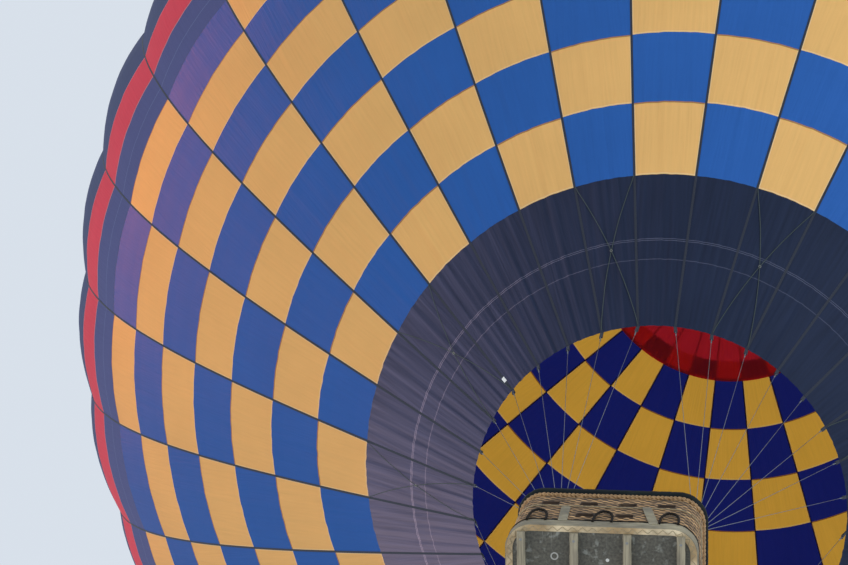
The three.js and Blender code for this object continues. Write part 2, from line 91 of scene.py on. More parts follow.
# Frame, rigging and burners, as in the part's source; SEAT is the gap between a piece and what it stands on
SEAT = 0.0003
FRAME_X, FRAME_Y, FRAME_Z = 0.70, 0.95, 2.35
FRAME_TUBE = 0.019
SOCKET, SOCKET_BOTTOM, SOCKET_TOP, SOCKET_EDGE = 0.034, 2.29, 2.38, 0.004
LUG_HALF, LUG_BOTTOM, LUG_MIDDLE, LUG_TOP = 0.020, 2.36, 2.42, 2.475
ARM_END, PIVOT_START, PIVOT_END = 0.43, 0.44, 0.375
POLE_X, POLE_Y, POLE_BOTTOM, POLE_TOP, POLE_RADIUS = 0.845, 1.15, 1.1503, 2.2897, 0.0272
KARABINER_BOTTOM = 2.4457
KARABINER_HEIGHT = 0.124
KARABINER_WIDTH = 0.064
KARABINER_BAR = 0.012
THIMBLE_HEIGHT = 2.5484
THIMBLE_REACH = 0.022
LOOP_LENGTH, LOOP_BEND = 0.130, 0.010
BURNER_X, BURNER_Y = 0.150, 0.165
BLOCK_TOP = 2.454
CAN_RADIUS, CAN_HEIGHT, CAN_SHEET, CAN_HOLE = 0.128, 0.19, 0.004, 0.032
COIL_RADIUS, COIL_HEIGHT, COIL_TUBE, COIL_TURNS = 0.098, 0.150, 0.0135, 5
COIL_BOTTOM = BLOCK_TOP + 0.0046

# Basket, as in the part's source
HALF_X, HALF_Y, CORNER, WALL = 0.86, 1.71, 0.23, 0.05
RIM_BOTTOM, RIM_TOP = 1.06, 1.15
FLOOR_TOP = 0.08
BAND_BOTTOM, BAND_TOP = 0.038, 0.19
STEP_WIDTH, STEP_HEIGHT = 0.17, 0.10
STEP_LEVELS = ((0.76, (-0.54, -0.18, 0.18, 0.54)), (0.40, (-0.18, 0.18)))
RUNNER_PLACES = (-0.72, -0.24, 0.24, 0.72)
RUNNER_WIDTH, RUNNER_HEIGHT, RUNNER_HALF = 0.08, 0.05, 1.65
PILOT_HALF, PARTITION = 0.355, 0.05
CYLINDER_X, CYLINDER_Y, CYLINDER_RADIUS, CYLINDER_HEIGHT = 0.62, 0.17, 0.155, 0.88
CORNERS = {"right_rear": (1, 1), "left_rear": (-1, 1), "left_front": (-1, -1), "right_front": (1, -1)}

# Fine pieces of the scene alone
CORD_ARC = MOUTH_ARC + 0.03
CORD_GORES = (24, 27, 31, 2, 6, 9, 13, 16, 20)
CROSSING_RADIUS, CROSSING_BAR = 0.014, 0.004
TAG_GORE, TAG_ARC, TAG_WIDTH, TAG_HEIGHT = 28, MOUTH_ARC + 0.16, 0.044, 0.075
EYE_RADIUS, EYE_BAR = 0.009, 0.0035
SLEEVE_RADIUS, SLEEVE_EDGE = 0.0075, 0.002
BOLT_RADIUS, BOLT_HEAD, BOLT_HALF = 0.009, 0.013, 0.03
KARABINER_CORNER = 0.016
WEAVE_INSET = 0.0035
LINING_INSET, LINING_CORNER = 0.003, 0.018
PAD_HALF_WIDTH, PAD_HALF_HEIGHT, PAD_PITCH = 0.070, 0.050, 0.1205
BRAID_RADIUS, BRAID_HEIGHT, BRAID_PITCH = 0.019, 1.022, 0.12
LACING_RADIUS, LACING_PITCH = 0.0022, 0.03
HANDLES_X, HANDLES_Y = (-0.6, 0, 0.6), (-1.2, -0.45, 0.45, 1.2)
HANDLE_HALF, HANDLE_BOTTOM, HANDLE_RISE = 0.085, 0.165, 0.285
BOLTS_Y = (-1.58, -0.95, -0.32, 0.32, 0.95, 1.58)

# Studio: the camera stands where the photo's camera stood, seen from the balloon, just over the floor
STUDIO_FLOOR, STUDIO_REACH = -18.6, 4000.0
CAMERA_LENS, CAMERA_PLACE = 87.2, (1.874, -7.071, -17.699)
CAMERA_AHEAD, CAMERA_ABOVE = (-0.1876, 0.1719, 0.9671), (-0.0127, -0.9849, 0.1726)

UP = np.array((0.0, 0.0, 1.0))


def linear(hexa):
    """An sRGB hex colour as linear red, green, blue and one."""
    shade = np.array([int(hexa[at:at + 2], 16) for at in (0, 2, 4)]) / 255
    shade = np.where(shade <= 0.04045, shade / 12.92, ((shade + 0.055) / 1.055) ** 2.4)
    return (*[float(channel) for channel in shade], 1.0)


def colour(label, hexa, words):
    """A colour property with its default from a hex value."""
    return bpy.props.FloatVectorProperty(
        name=label, description=words, default=linear(hexa), size=4, min=0, max=1, subtype="COLOR")


def length(label, metres, words):
    """A length property in metres."""
    return bpy.props.FloatProperty(
        name=label, description=words, default=metres, min=0, unit="LENGTH", subtype="DISTANCE", precision=4)


class BalloonSizes(bpy.types.PropertyGroup):
    tape_width: length("Load tape width", 0.029, "Width of the black tapes between gores")
    tape_lift: length("Load tape thickness", 0.004, "How far a tape stands out of the cloth")
    fold_depth: length("Fold depth", 0.012, "Height of the soft folds that run along the gores")
    wire: length("Flying wire radius", 0.003, "Radius of a wire between mouth and karabiner")
    cord: length("Cone cord radius", 0.0045, "Radius of the crossed cords over the cone")
    stake: length("Stake spacing", 0.050, "Distance between the basket's upright stakes")
    strand: length("Strand height", 0.0408, "Height of one woven strand of cane")
    weave: length("Weave depth", 0.0065, "How far a strand swings out over a stake")
    rope: length("Rope radius", 0.012, "Radius of the basket's handles")


class BalloonColours(bpy.types.PropertyGroup):
    tan: colour("Tan cloth", "ecb870", "Light cells of the checks")
    blue: colour("Blue cloth", "2c60aa", "Dark cells of the checks")
    band: colour("Blue band", "5a5e90", "Band between the checks and the red band")
    red: colour("Red cloth", "f04a5c", "Band above the blue band, and the valve")
    navy: colour("Navy cloth", "20293f", "Cone between the mouth and the checks")
    shoulder: colour("Shoulder cloth", "4c557c", "Band above the red band")
    gold: colour("Gold cloth", "f6ca68", "Light cells of the crown's checks")
    indigo: colour("Indigo cloth", "3c4894", "Dark cells of the crown's checks")
    tape: colour("Webbing", "1c2230", "Load tapes and loops")
    cane: colour("Cane", "ac865a", "Woven wall of the basket")
    hide: colour("Worn hide", "827a66", "Scuff band, straps and pole sleeves")
    rim: colour("Padded hide", "141b1c", "Rim of the basket")
    wood: colour("Bare wood", "978d76", "Runners")
    board: colour("Painted board", "504d43", "Underside of the floor")
    steel: colour("Steel", "b9bcc0", "Frame, karabiners and burners")
    aluminium: colour("Aluminium", "c4c7cb", "Cylinders and crown ring")


def put(tree, kind, inputs=None, **settings):
    """Adds a shader node: settings are its options, inputs its values or the sockets that feed it."""
    node = tree.nodes.new("ShaderNode" + kind)
    for key, value in settings.items():
        setattr(node, key, value)
    for key, value in (inputs or {}).items():
        if isinstance(value, bpy.types.NodeSocket):
            tree.links.new(value, node.inputs[key])
        else:
            node.inputs[key].default_value = value
    return next((socket for socket in node.outputs if socket.enabled), node)


def blank(name, **values):
    """A material with one Principled shader, whose values are set on its own sockets."""
    finish = bpy.data.materials.new(name)
    finish.use_nodes = True
    tree = finish.node_tree
    shader = tree.nodes["Principled BSDF"]
    for key, value in values.items():
        shader.inputs[key.replace("_", " ")].default_value = value
    return finish, tree, shader


def pattern(tree, texture, scale, uv=None, **values):
    """A texture laid over a piece by its object coordinates, or by a named UV map, stretched by a scale."""
    source = put(tree, "UVMap", uv_map=uv) if uv else put(tree, "TexCoord").node.outputs["Object"]
    place = put(tree, "Mapping", {"Vector": source, "Scale": scale})
    return put(tree, texture, {"Vector": place, "Scale": 1.0, **values})


def dress(tree, shader, base, height, strength, distance, value=None):
    """Gives a shader its colour, lighter or darker by a value if there is one, and a relief from a height."""
    if value is not None:
        base = put(tree, "HueSaturation", {"Value": value, "Color": base})
    relief = put(tree, "Bump", {"Height": height, "Strength": strength, "Distance": distance})
    tree.links.new(base, shader.inputs["Base Color"])
    tree.links.new(relief, shader.inputs["Normal"])
    return relief


# Satin coated nylon, cut in panels and sewn: even colour with soft mottling, fine straight wrinkles along the
# gore with painted shade and highlight that follow them, short puckers at each seam, pale and dark stripes
# along the seams of light cells, and light that shines through.
# A seam is measured across from the tape, up the row or along the arc; then come its place, half its width,
# its colour, its strength, and whether it shows on light cells only
def cloth_finish(name, dark, light=None, seams=(), wrinkle_shade=0.06, mottle=0.07, through=0.25, bump=0.4):
    finish, tree, shader = blank(name, Roughness=0.62, Specular_IOR_Level=0.12, Sheen_Weight=0.02)
    places = put(tree, "SeparateXYZ", {0: put(tree, "UVMap", uv_map="seams")}).node.outputs
    run = put(tree, "SeparateXYZ", {0: put(tree, "UVMap", uv_map="cloth")}).node.outputs
    axis = {"tape": places[0], "row": places[1], "arc": run[1]}
    tan = put(tree, "Attribute", attribute_name="tan").node.outputs["Fac"]
    base = put(tree, "Mix", {0: tan, 6: dark, 7: light}, data_type="RGBA") if light else dark
    patches = pattern(tree, "TexNoise", (0.9, 0.9, 0.9), Detail=3.0)
    wrinkles_and_shade = pattern(tree, "TexNoise", (26, 0.9, 1), "cloth", Detail=2.0)
    even = 1 - mottle - wrinkle_shade
    value = put(tree, "Math", {0: patches, 1: 2 * mottle, 2: even}, operation="MULTIPLY_ADD")
    # Painted shade and highlight: the same noise that raises the wrinkles darkens the cloth where they sink
    # and lightens it where they rise
    value = put(tree, "Math", {0: wrinkles_and_shade, 1: 2 * wrinkle_shade, 2: value}, operation="MULTIPLY_ADD")
    base = put(tree, "HueSaturation", {"Value": value, "Color": base})
    for where, place, half, shade, strength, on_light in seams:
        here = put(tree, "Math", {0: axis[where], 1: place, 2: half}, operation="COMPARE")
        here = put(tree, "Math", {0: here, 1: strength}, operation="MULTIPLY")
        if on_light:
            here = put(tree, "Math", {0: here, 1: tan}, operation="MULTIPLY")
        base = put(tree, "Mix", {0: here, 6: base, 7: linear(shade)}, data_type="RGBA")
    edge = put(tree, "Math", {0: axis["row"], 1: ROW / 2}, operation="PINGPONG")
    near = put(tree, "MapRange", {"Value": edge, 1: 0.0, 2: 0.3, 3: 1.0, 4: 0.0})
    puckers = pattern(tree, "TexNoise", (13, 2.2, 1), "cloth", Detail=1.0)
    puckers = put(tree, "Math", {0: puckers, 1: near}, operation="MULTIPLY")
    height = put(tree, "Math", {0: wrinkles_and_shade, 1: 0.5, 2: puckers}, operation="MULTIPLY_ADD")
    relief = dress(tree, shader, base, height, bump, 0.03)
    deep = put(tree, "Gamma", {"Color": base, "Gamma": 1.5})
    glow = put(tree, "BsdfTranslucent", {"Color": deep, "Normal": relief})
    mixed = put(tree, "MixShader", {0: through, 1: shader.outputs[0], 2: glow})
    tree.links.new(mixed, tree.nodes["Material Output"].inputs["Surface"])
    return finish


# Polyester webbing: flat dark ribbon with fine cross ribs
def webbing_finish(name, base):
    finish, tree, shader = blank(name, Roughness=0.75, Sheen_Weight=0.1)
    ribs = pattern(tree, "TexNoise", (60, 60, 60), Detail=2.0)
    value = put(tree, "MapRange", {"Value": ribs, 1: 0.3, 2: 0.7, 3: 0.8, 4: 1.2})
    dress(tree, shader, base, ribs, 0.3, 0.002, value)
    return finish


# Woven cane, varnished long ago: each strand has its own tone, with fine fibres along it, painted shade in
# the gaps between strands and painted shade where a strand passes behind a stake. The strands are drawn
# coarser than real cane, so that the weave shows from the camera
def cane_finish(name, base):
    finish, tree, shader = blank(name, Roughness=0.58, Coat_Weight=0.08)
    strand = bpy.context.scene.balloon_sizes.strand
    along, up = put(tree, "SeparateXYZ", {0: put(tree, "UVMap", uv_map="weave")}).node.outputs[:2]
    level = put(tree, "Math", {0: up, 1: strand}, operation="DIVIDE")
    number = put(tree, "Math", {0: level}, operation="FLOOR")
    own = put(tree, "CombineXYZ", {0: along, 1: number})
    own = put(tree, "Mapping", {"Vector": own, "Scale": (1.6, 3.7, 1)})
    tint = put(tree, "TexNoise", {"Vector": own, "Detail": 1.0, "Scale": 1.0})
    fibres = pattern(tree, "TexNoise", (14, 420, 1), "weave", Detail=2.0)
    wear = pattern(tree, "TexNoise", (2.2, 2.2, 2.2), Detail=4.0)
    blocks = pattern(tree, "TexNoise", (5.5, 12, 1), "weave", Detail=2.0)
    value = put(tree, "MapRange", {"Value": tint, 1: 0.3, 2: 0.7, 3: 0.55, 4: 1.2})
    patchy = put(tree, "MapRange", {"Value": blocks, 1: 0.35, 2: 0.65, 3: -0.45, 4: 0.6})
    value = put(tree, "Math", {0: value, 1: patchy}, operation="ADD")
    value = put(tree, "Math", {0: fibres, 1: 0.35, 2: value}, operation="MULTIPLY_ADD")
    value = put(tree, "Math", {0: wear, 1: 0.5, 2: value}, operation="MULTIPLY_ADD")
    value = put(tree, "Math", {0: value, 1: 0.42}, operation="SUBTRACT")
    # Painted shade: darker towards each strand's upper and lower edge, and darker where the depth attribute
    # puts a strand behind a stake or where two strands meet
    half = put(tree, "Math", {0: up, 1: strand / 2}, operation="PINGPONG")
    strand_round_and_gap_shade = put(tree, "MapRange", {"Value": half, 1: 0.0, 2: strand * 0.32, 3: 0.16, 4: 1.0})
    depth = put(tree, "Attribute", attribute_name="depth").node.outputs["Fac"]
    behind = put(tree, "MapRange", {"Value": depth, 1: -1.0, 2: 0.4, 3: 0.3, 4: 1.1})
    shade = put(tree, "Math", {0: strand_round_and_gap_shade, 1: behind}, operation="MULTIPLY")
    value = put(tree, "Math", {0: value, 1: shade}, operation="MULTIPLY")
    height = put(tree, "Math", {0: fibres, 1: 0.25, 2: strand_round_and_gap_shade}, operation="MULTIPLY_ADD")
    dress(tree, shader, base, height, 0.6, 0.004, value)
    return finish


# Braided cane of the border: fine fibres in every direction, since the braid has no map of strands
def braid_finish(name, base):
    finish, tree, shader = blank(name, Roughness=0.6)
    fibres = pattern(tree, "TexNoise", (60, 60, 60), Detail=4.0)
    value = put(tree, "MapRange", {"Value": fibres, 1: 0.3, 2: 0.7, 3: 0.55, 4: 1.25})
    dress(tree, shader, base, fibres, 0.5, 0.003, value)
    return finish


# Hide, tanned and oiled: pebbled grain, creased relief darkened by painted shade where it sinks, and paler
# scuffs where it rubs
def hide_finish(name, base, scuff, wear=0.5, gloss=0.5):
    finish, tree, shader = blank(name, Roughness=0.6, Specular_IOR_Level=gloss)
    pebbles = pattern(tree, "TexVoronoi", (180, 180, 180))
    creases_and_shade = pattern(tree, "TexNoise", (9, 9, 26), Detail=6.0)
    patches = pattern(tree, "TexNoise", (3.1, 3.1, 5), Detail=5.0)
    worn = put(tree, "MapRange", {"Value": patches, 1: 0.62 - 0.25 * wear, 2: 0.75, 3: 0.0, 4: 1.0})
    shade = put(tree, "Mix", {0: worn, 6: base, 7: linear(scuff)}, data_type="RGBA")
    # Painted shade: the noise that sinks the relief darkens the hide there too
    value = put(tree, "MapRange", {"Value": creases_and_shade, 1: 0.3, 2: 0.7, 3: 0.72, 4: 1.2})
    height = put(tree, "Math", {0: pebbles, 1: 0.25, 2: creases_and_shade}, operation="MULTIPLY_ADD")
    dress(tree, shader, shade, height, 0.5, 0.004, value)
    return finish


# Softwood, sawn and worn bare by dragging: grain along Y, dark splits, grey dirt
def wood_finish(name, base):
    finish, tree, shader = blank(name, Roughness=0.75)
    grain = pattern(tree, "TexNoise", (90, 3, 90), Detail=4.0)
    dirt = pattern(tree, "TexNoise", (6, 2.5, 6), Detail=5.0)
    value = put(tree, "MapRange", {"Value": grain, 1: 0.3, 2: 0.7, 3: 0.6, 4: 1.3})
    grey = put(tree, "MapRange", {"Value": dirt, 1: 0.45, 2: 0.7, 3: 0.0, 4: 0.7})
    shade = put(tree, "Mix", {0: grey, 6: base, 7: linear("57514a")}, data_type="RGBA")
    dress(tree, shader, shade, grain, 0.5, 0.003, value)
    return finish


# Phenolic faced board: dark slate paint with a speckled wear, mud stains, rubbed pale spots, a few long
# scratches from landings, a round scuff and a white spot
def board_finish(name, base):
    finish, tree, shader = blank(name, Roughness=0.6)
    speckle = pattern(tree, "TexNoise", (1, 1, 1), Detail=4.0, Scale=42.0)
    stains = pattern(tree, "TexNoise", (1, 1, 1), Detail=6.0, Scale=3.0)
    rubbed = pattern(tree, "TexNoise", (1, 1, 1), Detail=5.0, Scale=14.0)
    scratches = pattern(tree, "TexNoise", (70, 2.2, 1), Detail=3.0)
    mud = put(tree, "MapRange", {"Value": stains, 1: 0.5, 2: 0.75, 3: 0.0, 4: 0.5})
    shade = put(tree, "Mix", {0: mud, 6: base, 7: linear("6b6355")}, data_type="RGBA")
    value = put(tree, "MapRange", {"Value": speckle, 1: 0.3, 2: 0.7, 3: 0.6, 4: 1.45})
    shade = put(tree, "HueSaturation", {"Value": value, "Color": shade})
    for wear, low, high, most in ((rubbed, 0.6, 0.7, 0.5), (scratches, 0.66, 0.71, 0.3)):
        share = put(tree, "MapRange", {"Value": wear, 1: low, 2: high, 3: 0.0, 4: most})
        shade = put(tree, "Mix", {0: share, 6: shade, 7: linear("9b9c92")}, data_type="RGBA")
    place = put(tree, "TexCoord").node.outputs["Object"]
    marks = (((-0.42, -1.42, 0.05), 0.030, 0.006, 0.5), ((0.06, -1.40, 0.05), 0.0, 0.016, 0.9))
    for middle, radius, half, strength in marks:
        away = put(tree, "VectorMath", {0: place, 1: middle}, operation="DISTANCE").node.outputs["Value"]
        mark = put(tree, "Math", {0: away, 1: radius, 2: half}, operation="COMPARE")
        mark = put(tree, "Math", {0: mark, 1: strength}, operation="MULTIPLY")
        shade = put(tree, "Mix", {0: mark, 6: shade, 7: linear("d6d4cc")}, data_type="RGBA")
    dress(tree, shader, shade, speckle, 0.2, 0.002)
    return finish


# Drawn or spun metal, brushed: fine directional scratches, faint heat or handling marks
def metal_finish(name, base, roughness, stretch, tint=None):
    finish, tree, shader = blank(name, Metallic=1.0, Roughness=roughness)
    brush = pattern(tree, "TexNoise", stretch, Detail=3.0)
    marks = pattern(tree, "TexNoise", (5, 5, 5), Detail=4.0)
    value = put(tree, "MapRange", {"Value": brush, 1: 0.3, 2: 0.7, 3: 0.86, 4: 1.08})
    if tint:
        share = put(tree, "MapRange", {"Value": marks, 1: 0.4, 2: 0.65, 3: 0.0, 4: 0.7})
        base = put(tree, "Mix", {0: share, 6: base, 7: linear(tint)}, data_type="RGBA")
    low, high = roughness - 0.08, roughness + 0.12
    rough = put(tree, "MapRange", {"Value": marks, 1: 0.3, 2: 0.7, 3: low, 4: high})
    tree.links.new(rough, shader.inputs["Roughness"])
    dress(tree, shader, base, brush, 0.15, 0.001, value)
    return finish


# Twisted rope: hemp or braided polyester, fuzzy, with painted shade where its fuzzy surface sinks
def rope_finish(name, base):
    finish, tree, shader = blank(name, Roughness=0.85, Specular_IOR_Level=0.2)
    fuzz_and_shade = pattern(tree, "TexNoise", (160, 160, 160), Detail=3.0)
    # Painted shade: the noise that sinks the relief darkens the rope there too
    value = put(tree, "MapRange", {"Value": fuzz_and_shade, 1: 0.3, 2: 0.7, 3: 0.65, 4: 1.25})
    dress(tree, shader, base, fuzz_and_shade, 0.6, 0.002, value)
    return finish


def smooth(value, low, high):
    """Rises from 0 at low to 1 at high as three shares squared less two shares cubed."""
    share = np.clip((value - low) / (high - low), 0, 1)
    return share * share * (3 - 2 * share)


def curve(value, power):
    """A value's size raised to a power, with its sign kept."""
    return np.sign(value) * np.abs(value) ** power


def around(sides):
    """Evenly spaced angles once round."""
    return np.linspace(0, 2 * np.pi, sides, endpoint=False)


def outward(azimuth):
    """The level direction at an azimuth in radians."""
    return np.array((math.cos(azimuth), math.sin(azimuth), 0))


def sideways(azimuth):
    """The level direction a quarter turn on from an azimuth."""
    return np.array((-math.sin(azimuth), math.cos(azimuth), 0))


def steps(start, end, most):
    """Evenly spaced values from start to end, no further apart than most."""
    return np.linspace(start, end, max(2, math.ceil((end - start) / most) + 1))


def row_steps(start, end, parts):
    """Arcs that cut each row of cloth in equal parts, from a row's seam to an end, at times within a row."""
    return np.append(np.arange(start, end - 0.05, ROW / parts), end)


def quads(rows, columns, closed):
    """Corner numbers of each cell of a grid of points; closed joins the last column to the first."""
    row, column = np.mgrid[0:rows - 1, 0:columns if closed else columns - 1]
    here, after = row * columns + column, row * columns + (column + 1) % columns
    return np.stack((here, after, after + columns, here + columns), -1).reshape(-1, 4)


def surface(points, closed=True):
    """A grid of points, rows along the run and columns round it, as points and cells."""
    rows, columns = points.shape[:2]
    return points.reshape(-1, 3), quads(rows, columns, closed)


def capped(points):
    """A tube's grid with each end drawn in to the middle of its last ring."""
    first = np.repeat(points[:1].mean(1, keepdims=True), points.shape[1], 1)
    last = np.repeat(points[-1:].mean(1, keepdims=True), points.shape[1], 1)
    return np.concatenate((first, points, last))


def carried(path, section, closed=False, up=UP):
    """A section carried along a path: path + side times x + top times y, where side is up crossed with the
    run and top is the run crossed with side. The section may change from place to place."""
    path = np.asarray(path, float)
    if closed:
        run = np.roll(path, -1, 0) - np.roll(path, 1, 0)
    else:
        run = np.gradient(path, axis=0)
    run /= np.linalg.norm(run, axis=1, keepdims=True)
    side = np.cross(np.broadcast_to(up, run.shape), run)
    side /= np.linalg.norm(side, axis=1, keepdims=True)
    top = np.cross(run, side)
    section = np.broadcast_to(section, (len(path), *np.shape(section)[-2:]))
    points = path[:, None] + section[..., :1] * side[:, None] + section[..., 1:] * top[:, None]
    if closed:
        return surface(np.concatenate((points, points[:1])))
    return surface(capped(points))


def ring(radius, sides=12, lobes=0, depth=0.0, turn=0.0):
    """A round section: radius times one plus depth times the cosine of lobes times the angle less the turn.
    With a turn for each place of the path, the section twists along it."""
    angle = around(sides) + np.zeros((*np.shape(turn), 1))
    reach = radius * (1 + depth * np.cos(lobes * (angle - np.asarray(turn)[..., None])))
    return np.stack((reach * np.cos(angle), reach * np.sin(angle)), -1)


def rounded(half_x, half_y, corner, parts):
    """A rectangle with round corners: each corner's middle plus the radius times an arc of a quarter turn."""
    outline = []
    for quarter, (x, y) in enumerate(CORNERS.values()):
        angle = np.linspace(0, np.pi / 2, parts) + quarter * np.pi / 2
        across = x * (half_x - corner) + corner * np.cos(angle)
        along = y * (half_y - corner) + corner * np.sin(angle)
        outline.append(np.stack((across, along), -1))
    return np.concatenate(outline)


def rod(start, end, radius, sides=20, edge=0.003):
    """A round bar from start to end; its ends are rounded over by a small edge."""
    start, end = np.array(start, float), np.array(end, float)
    size = np.linalg.norm(end - start)
    along = (end - start) / size
    edge = min(edge, size / 4)
    stations = np.array((0, edge * 0.3, edge, size - edge, size - edge * 0.3, size))
    shares = (radius - np.array((edge, edge * 0.3, 0, 0, edge * 0.3, edge))) / radius
    up = UP if abs(along[2]) < 0.9 else np.array((0.0, 1.0, 0.0))
    return carried(start + stations[:, None] * along, ring(radius, sides) * shares[:, None, None], up=up)


def turned(profile, x, y, sides):
    """A profile of radius and height turned about an upright axis; it runs up the outside."""
    profile = np.asarray(profile, float)
    angle = around(sides)
    reach, height = profile[:, :1], profile[:, 1:]
    points = np.stack((x + reach * np.cos(angle), y + reach * np.sin(angle), height + 0 * angle), -1)
    return surface(points)


def slab(low, high, edge):
    """A box with chamfered edges: a rounded rectangle that shrinks by the edge at its top and bottom."""
    middle, half = (low + high) / 2, (high - low) / 2
    rows = []
    for inset, height in ((edge, low[2]), (edge * 0.3, low[2] + edge * 0.3), (0, low[2] + edge),
                          (0, high[2] - edge), (edge * 0.3, high[2] - edge * 0.3), (edge, high[2])):
        x, y = half[0] - inset, half[1] - inset
        corner = np.array(((x, -y + edge), (x, y - edge), (x - edge, y), (-x + edge, y),
                           (-x, y - edge), (-x, -y + edge), (-x + edge, -y), (x - edge, -y)))
        rows.append(np.column_stack((corner + middle[:2], np.full(8, height))))
    return surface(capped(np.array(rows)))


def piece(name, parts, finish, body="root", replaced=(), sharp=40):
    """One mesh object from several surfaces: doubles merged, faces turned outwards and sharp edges kept."""
    starts = np.cumsum([0] + [len(points) for points, _ in parts])
    points = np.concatenate([points for points, _ in parts])
    faces = np.concatenate([faces + start for (_, faces), start in zip(parts, starts)])
    mesh = bpy.data.meshes.new(name)
    mesh.from_pydata(points.tolist(), [], faces.tolist())
    work = bmesh.new()
    work.from_mesh(mesh)
    bmesh.ops.remove_doubles(work, verts=work.verts, dist=1e-5)
    bmesh.ops.recalc_face_normals(work, faces=work.faces)
    work.to_mesh(mesh)
    work.free()
    return finished(name, mesh, finish, body, replaced, sharp)


def finished(name, mesh, finish, body="root", replaced=(), sharp=40):
    """Puts a mesh in the scene with its material, its body and the nodes that it stands for."""
    mesh.shade_smooth()
    if sharp:
        mesh.set_sharp_from_angle(angle=math.radians(sharp))
    mesh.materials.append(finish)
    made = bpy.data.objects.new(name, mesh)
    bpy.context.scene.collection.objects.link(made)
    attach(made, body)
    if replaced:
        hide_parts(*replaced)
    return made


def node_copy(name, node, finish, body, bevel):
    """A CAD node's own form with its seams merged, flat faces joined and a rounded bevel on its edges."""
    mesh = frame["nodes"][node].data.copy()
    mesh.name = name
    mesh.materials.clear()
    work = bmesh.new()
    work.from_mesh(mesh)
    bmesh.ops.remove_doubles(work, verts=work.verts, dist=1e-5)
    bmesh.ops.dissolve_limit(work, angle_limit=math.radians(2), verts=work.verts, edges=work.edges)
    work.to_mesh(mesh)
    work.free()
    made = finished(name, mesh, finish, body, [node])
    edges = made.modifiers.new("rounded edges", "BEVEL")
    edges.width = bevel
    edges.segments = 2
    edges.limit_method = "ANGLE"
    edges.angle_limit = math.radians(40)
    edges.harden_normals = False
    return made


def natural_shape():
    """The tape's line under load: at each step its slope turns by radius times height, scaled to the widest
    radius. Columns are arc, radius, height and slope."""
    step, radius, height, slope, rows = 0.002, 0.0, 0.0, math.radians(CONE_SLOPE), []
    while radius >= 0:
        rows.append((len(rows) * step, radius, height, slope))
        middle_radius = radius + math.sin(slope) * step / 2
        middle_height = height + math.cos(slope) * step / 2
        middle_slope = slope - radius * height * step / 2
        slope -= middle_radius * middle_height * step
        radius += math.sin(middle_slope) * step
        height += math.cos(middle_slope) * step
    line = np.array(rows)
    line[:, :3] *= TAPE_RADIUS / line[:, 1].max()
    return line


TAPE = natural_shape()
TOP_ARC = TAPE[-1, 0]
VENT_ARC = TAPE[TAPE[:, 1] > VENT_RADIUS][-1, 0]
VALVE_ARC = VENT_ARC - VALVE_OVERLAP
RING_ARC = TAPE[TAPE[:, 1] > RING_RADIUS][-1, 0]
TIP_HEIGHT = MOUTH_HEIGHT - np.interp(MOUTH_ARC, TAPE[:, 0], TAPE[:, 2])
TOP_HEIGHT = TIP_HEIGHT + TAPE[-1, 2]
UPPER_CHECKS_ARC = CHECKS_ARC + ROW * LOWER_ROWS
BLUE_ARC = CHECKS_ARC + ROW * CHECK_ROWS
RED_ARC = BLUE_ARC + ROW
SHOULDER_ARC = BLUE_ARC + 2 * ROW
CROWN_CHECKS_ARC = SHOULDER_ARC + SHOULDER_ROWS * ROW
CROWN_ARC = CROWN_CHECKS_ARC + CROWN_CHECK_ROWS * ROW

# Bands of cloth from the mouth up: piece, node, arcs of its rows, finish and slot
BANDS = (
    ("hem_cloth", "mouth_hem", steps(MOUTH_ARC, HEM_ARC, 0.05), "cone", "navy_cloth"),
    ("cone_cloth", "envelope_lower_cone", steps(HEM_ARC, CHECKS_ARC, 0.1), "cone", "navy_cloth"),
    ("lower_check_cloth", "envelope_lower_checks",
     row_steps(CHECKS_ARC, UPPER_CHECKS_ARC, 6), "checks", "checked_cloth"),
    ("upper_check_cloth", "envelope_upper_checks",
     row_steps(UPPER_CHECKS_ARC, BLUE_ARC, 6), "checks", "checked_cloth"),
    ("blue_cloth", "envelope_blue_band", row_steps(BLUE_ARC, RED_ARC, 6), "blue", "blue_cloth"),
    ("red_cloth", "envelope_red_band", row_steps(RED_ARC, SHOULDER_ARC, 6), "red", "red_cloth"),
    ("shoulder_cloth", "envelope_shoulder",
     row_steps(SHOULDER_ARC, CROWN_CHECKS_ARC, 5), "shoulder", "navy_cloth"),
    ("crown_check_cloth", "envelope_crown_checks",
     row_steps(CROWN_CHECKS_ARC, CROWN_ARC, 5), "crown", "checked_cloth"),
    ("crown_cloth", "envelope_crown", row_steps(CROWN_ARC, VENT_ARC, 5), "crown", "checked_cloth"),
)


def on_tape(arc):
    """Radius, height and slope of the tape at an arc."""
    return [np.interp(arc, TAPE[:, 0], TAPE[:, column]) for column in (1, 2, 3)]


def gore_width(arc):
    """Distance between two tapes round the girth."""
    return 2 * np.pi * on_tape(arc)[0] / GORES


def tape_azimuth(gore):
    """Direction of a tape from the axis, in radians."""
    return math.radians((gore - 0.5) * GORE_TURN - 90)


def folds(arc, place):
    """Soft folds along a gore: three waves across it, shifted from gore to gore and along the tape, which die
    out at the tapes, at the widest part and at the crown."""
    share, gore = place % 1, np.floor(place) % GORES
    waves = 0
    for number, weight, swing, rate in ((3, 0.5, 1.3, 0.8), (5, 0.35, 1.7, 1.1), (8, 0.22, 1.1, 1.9)):
        shift = number * 1.7 * gore + swing * np.sin(rate * arc + gore)
        waves = waves + weight * np.sin(2 * np.pi * number * share + shift)
    fade = 0.6 - 0.25 * smooth(arc, CHECKS_ARC, CHECKS_ARC + 5)
    fade = fade * (1 - smooth(arc, VALVE_ARC - 2 * ROW, VALVE_ARC - 0.3))
    return bpy.context.scene.balloon_sizes.fold_depth * fade * 4 * share * (1 - share) * waves


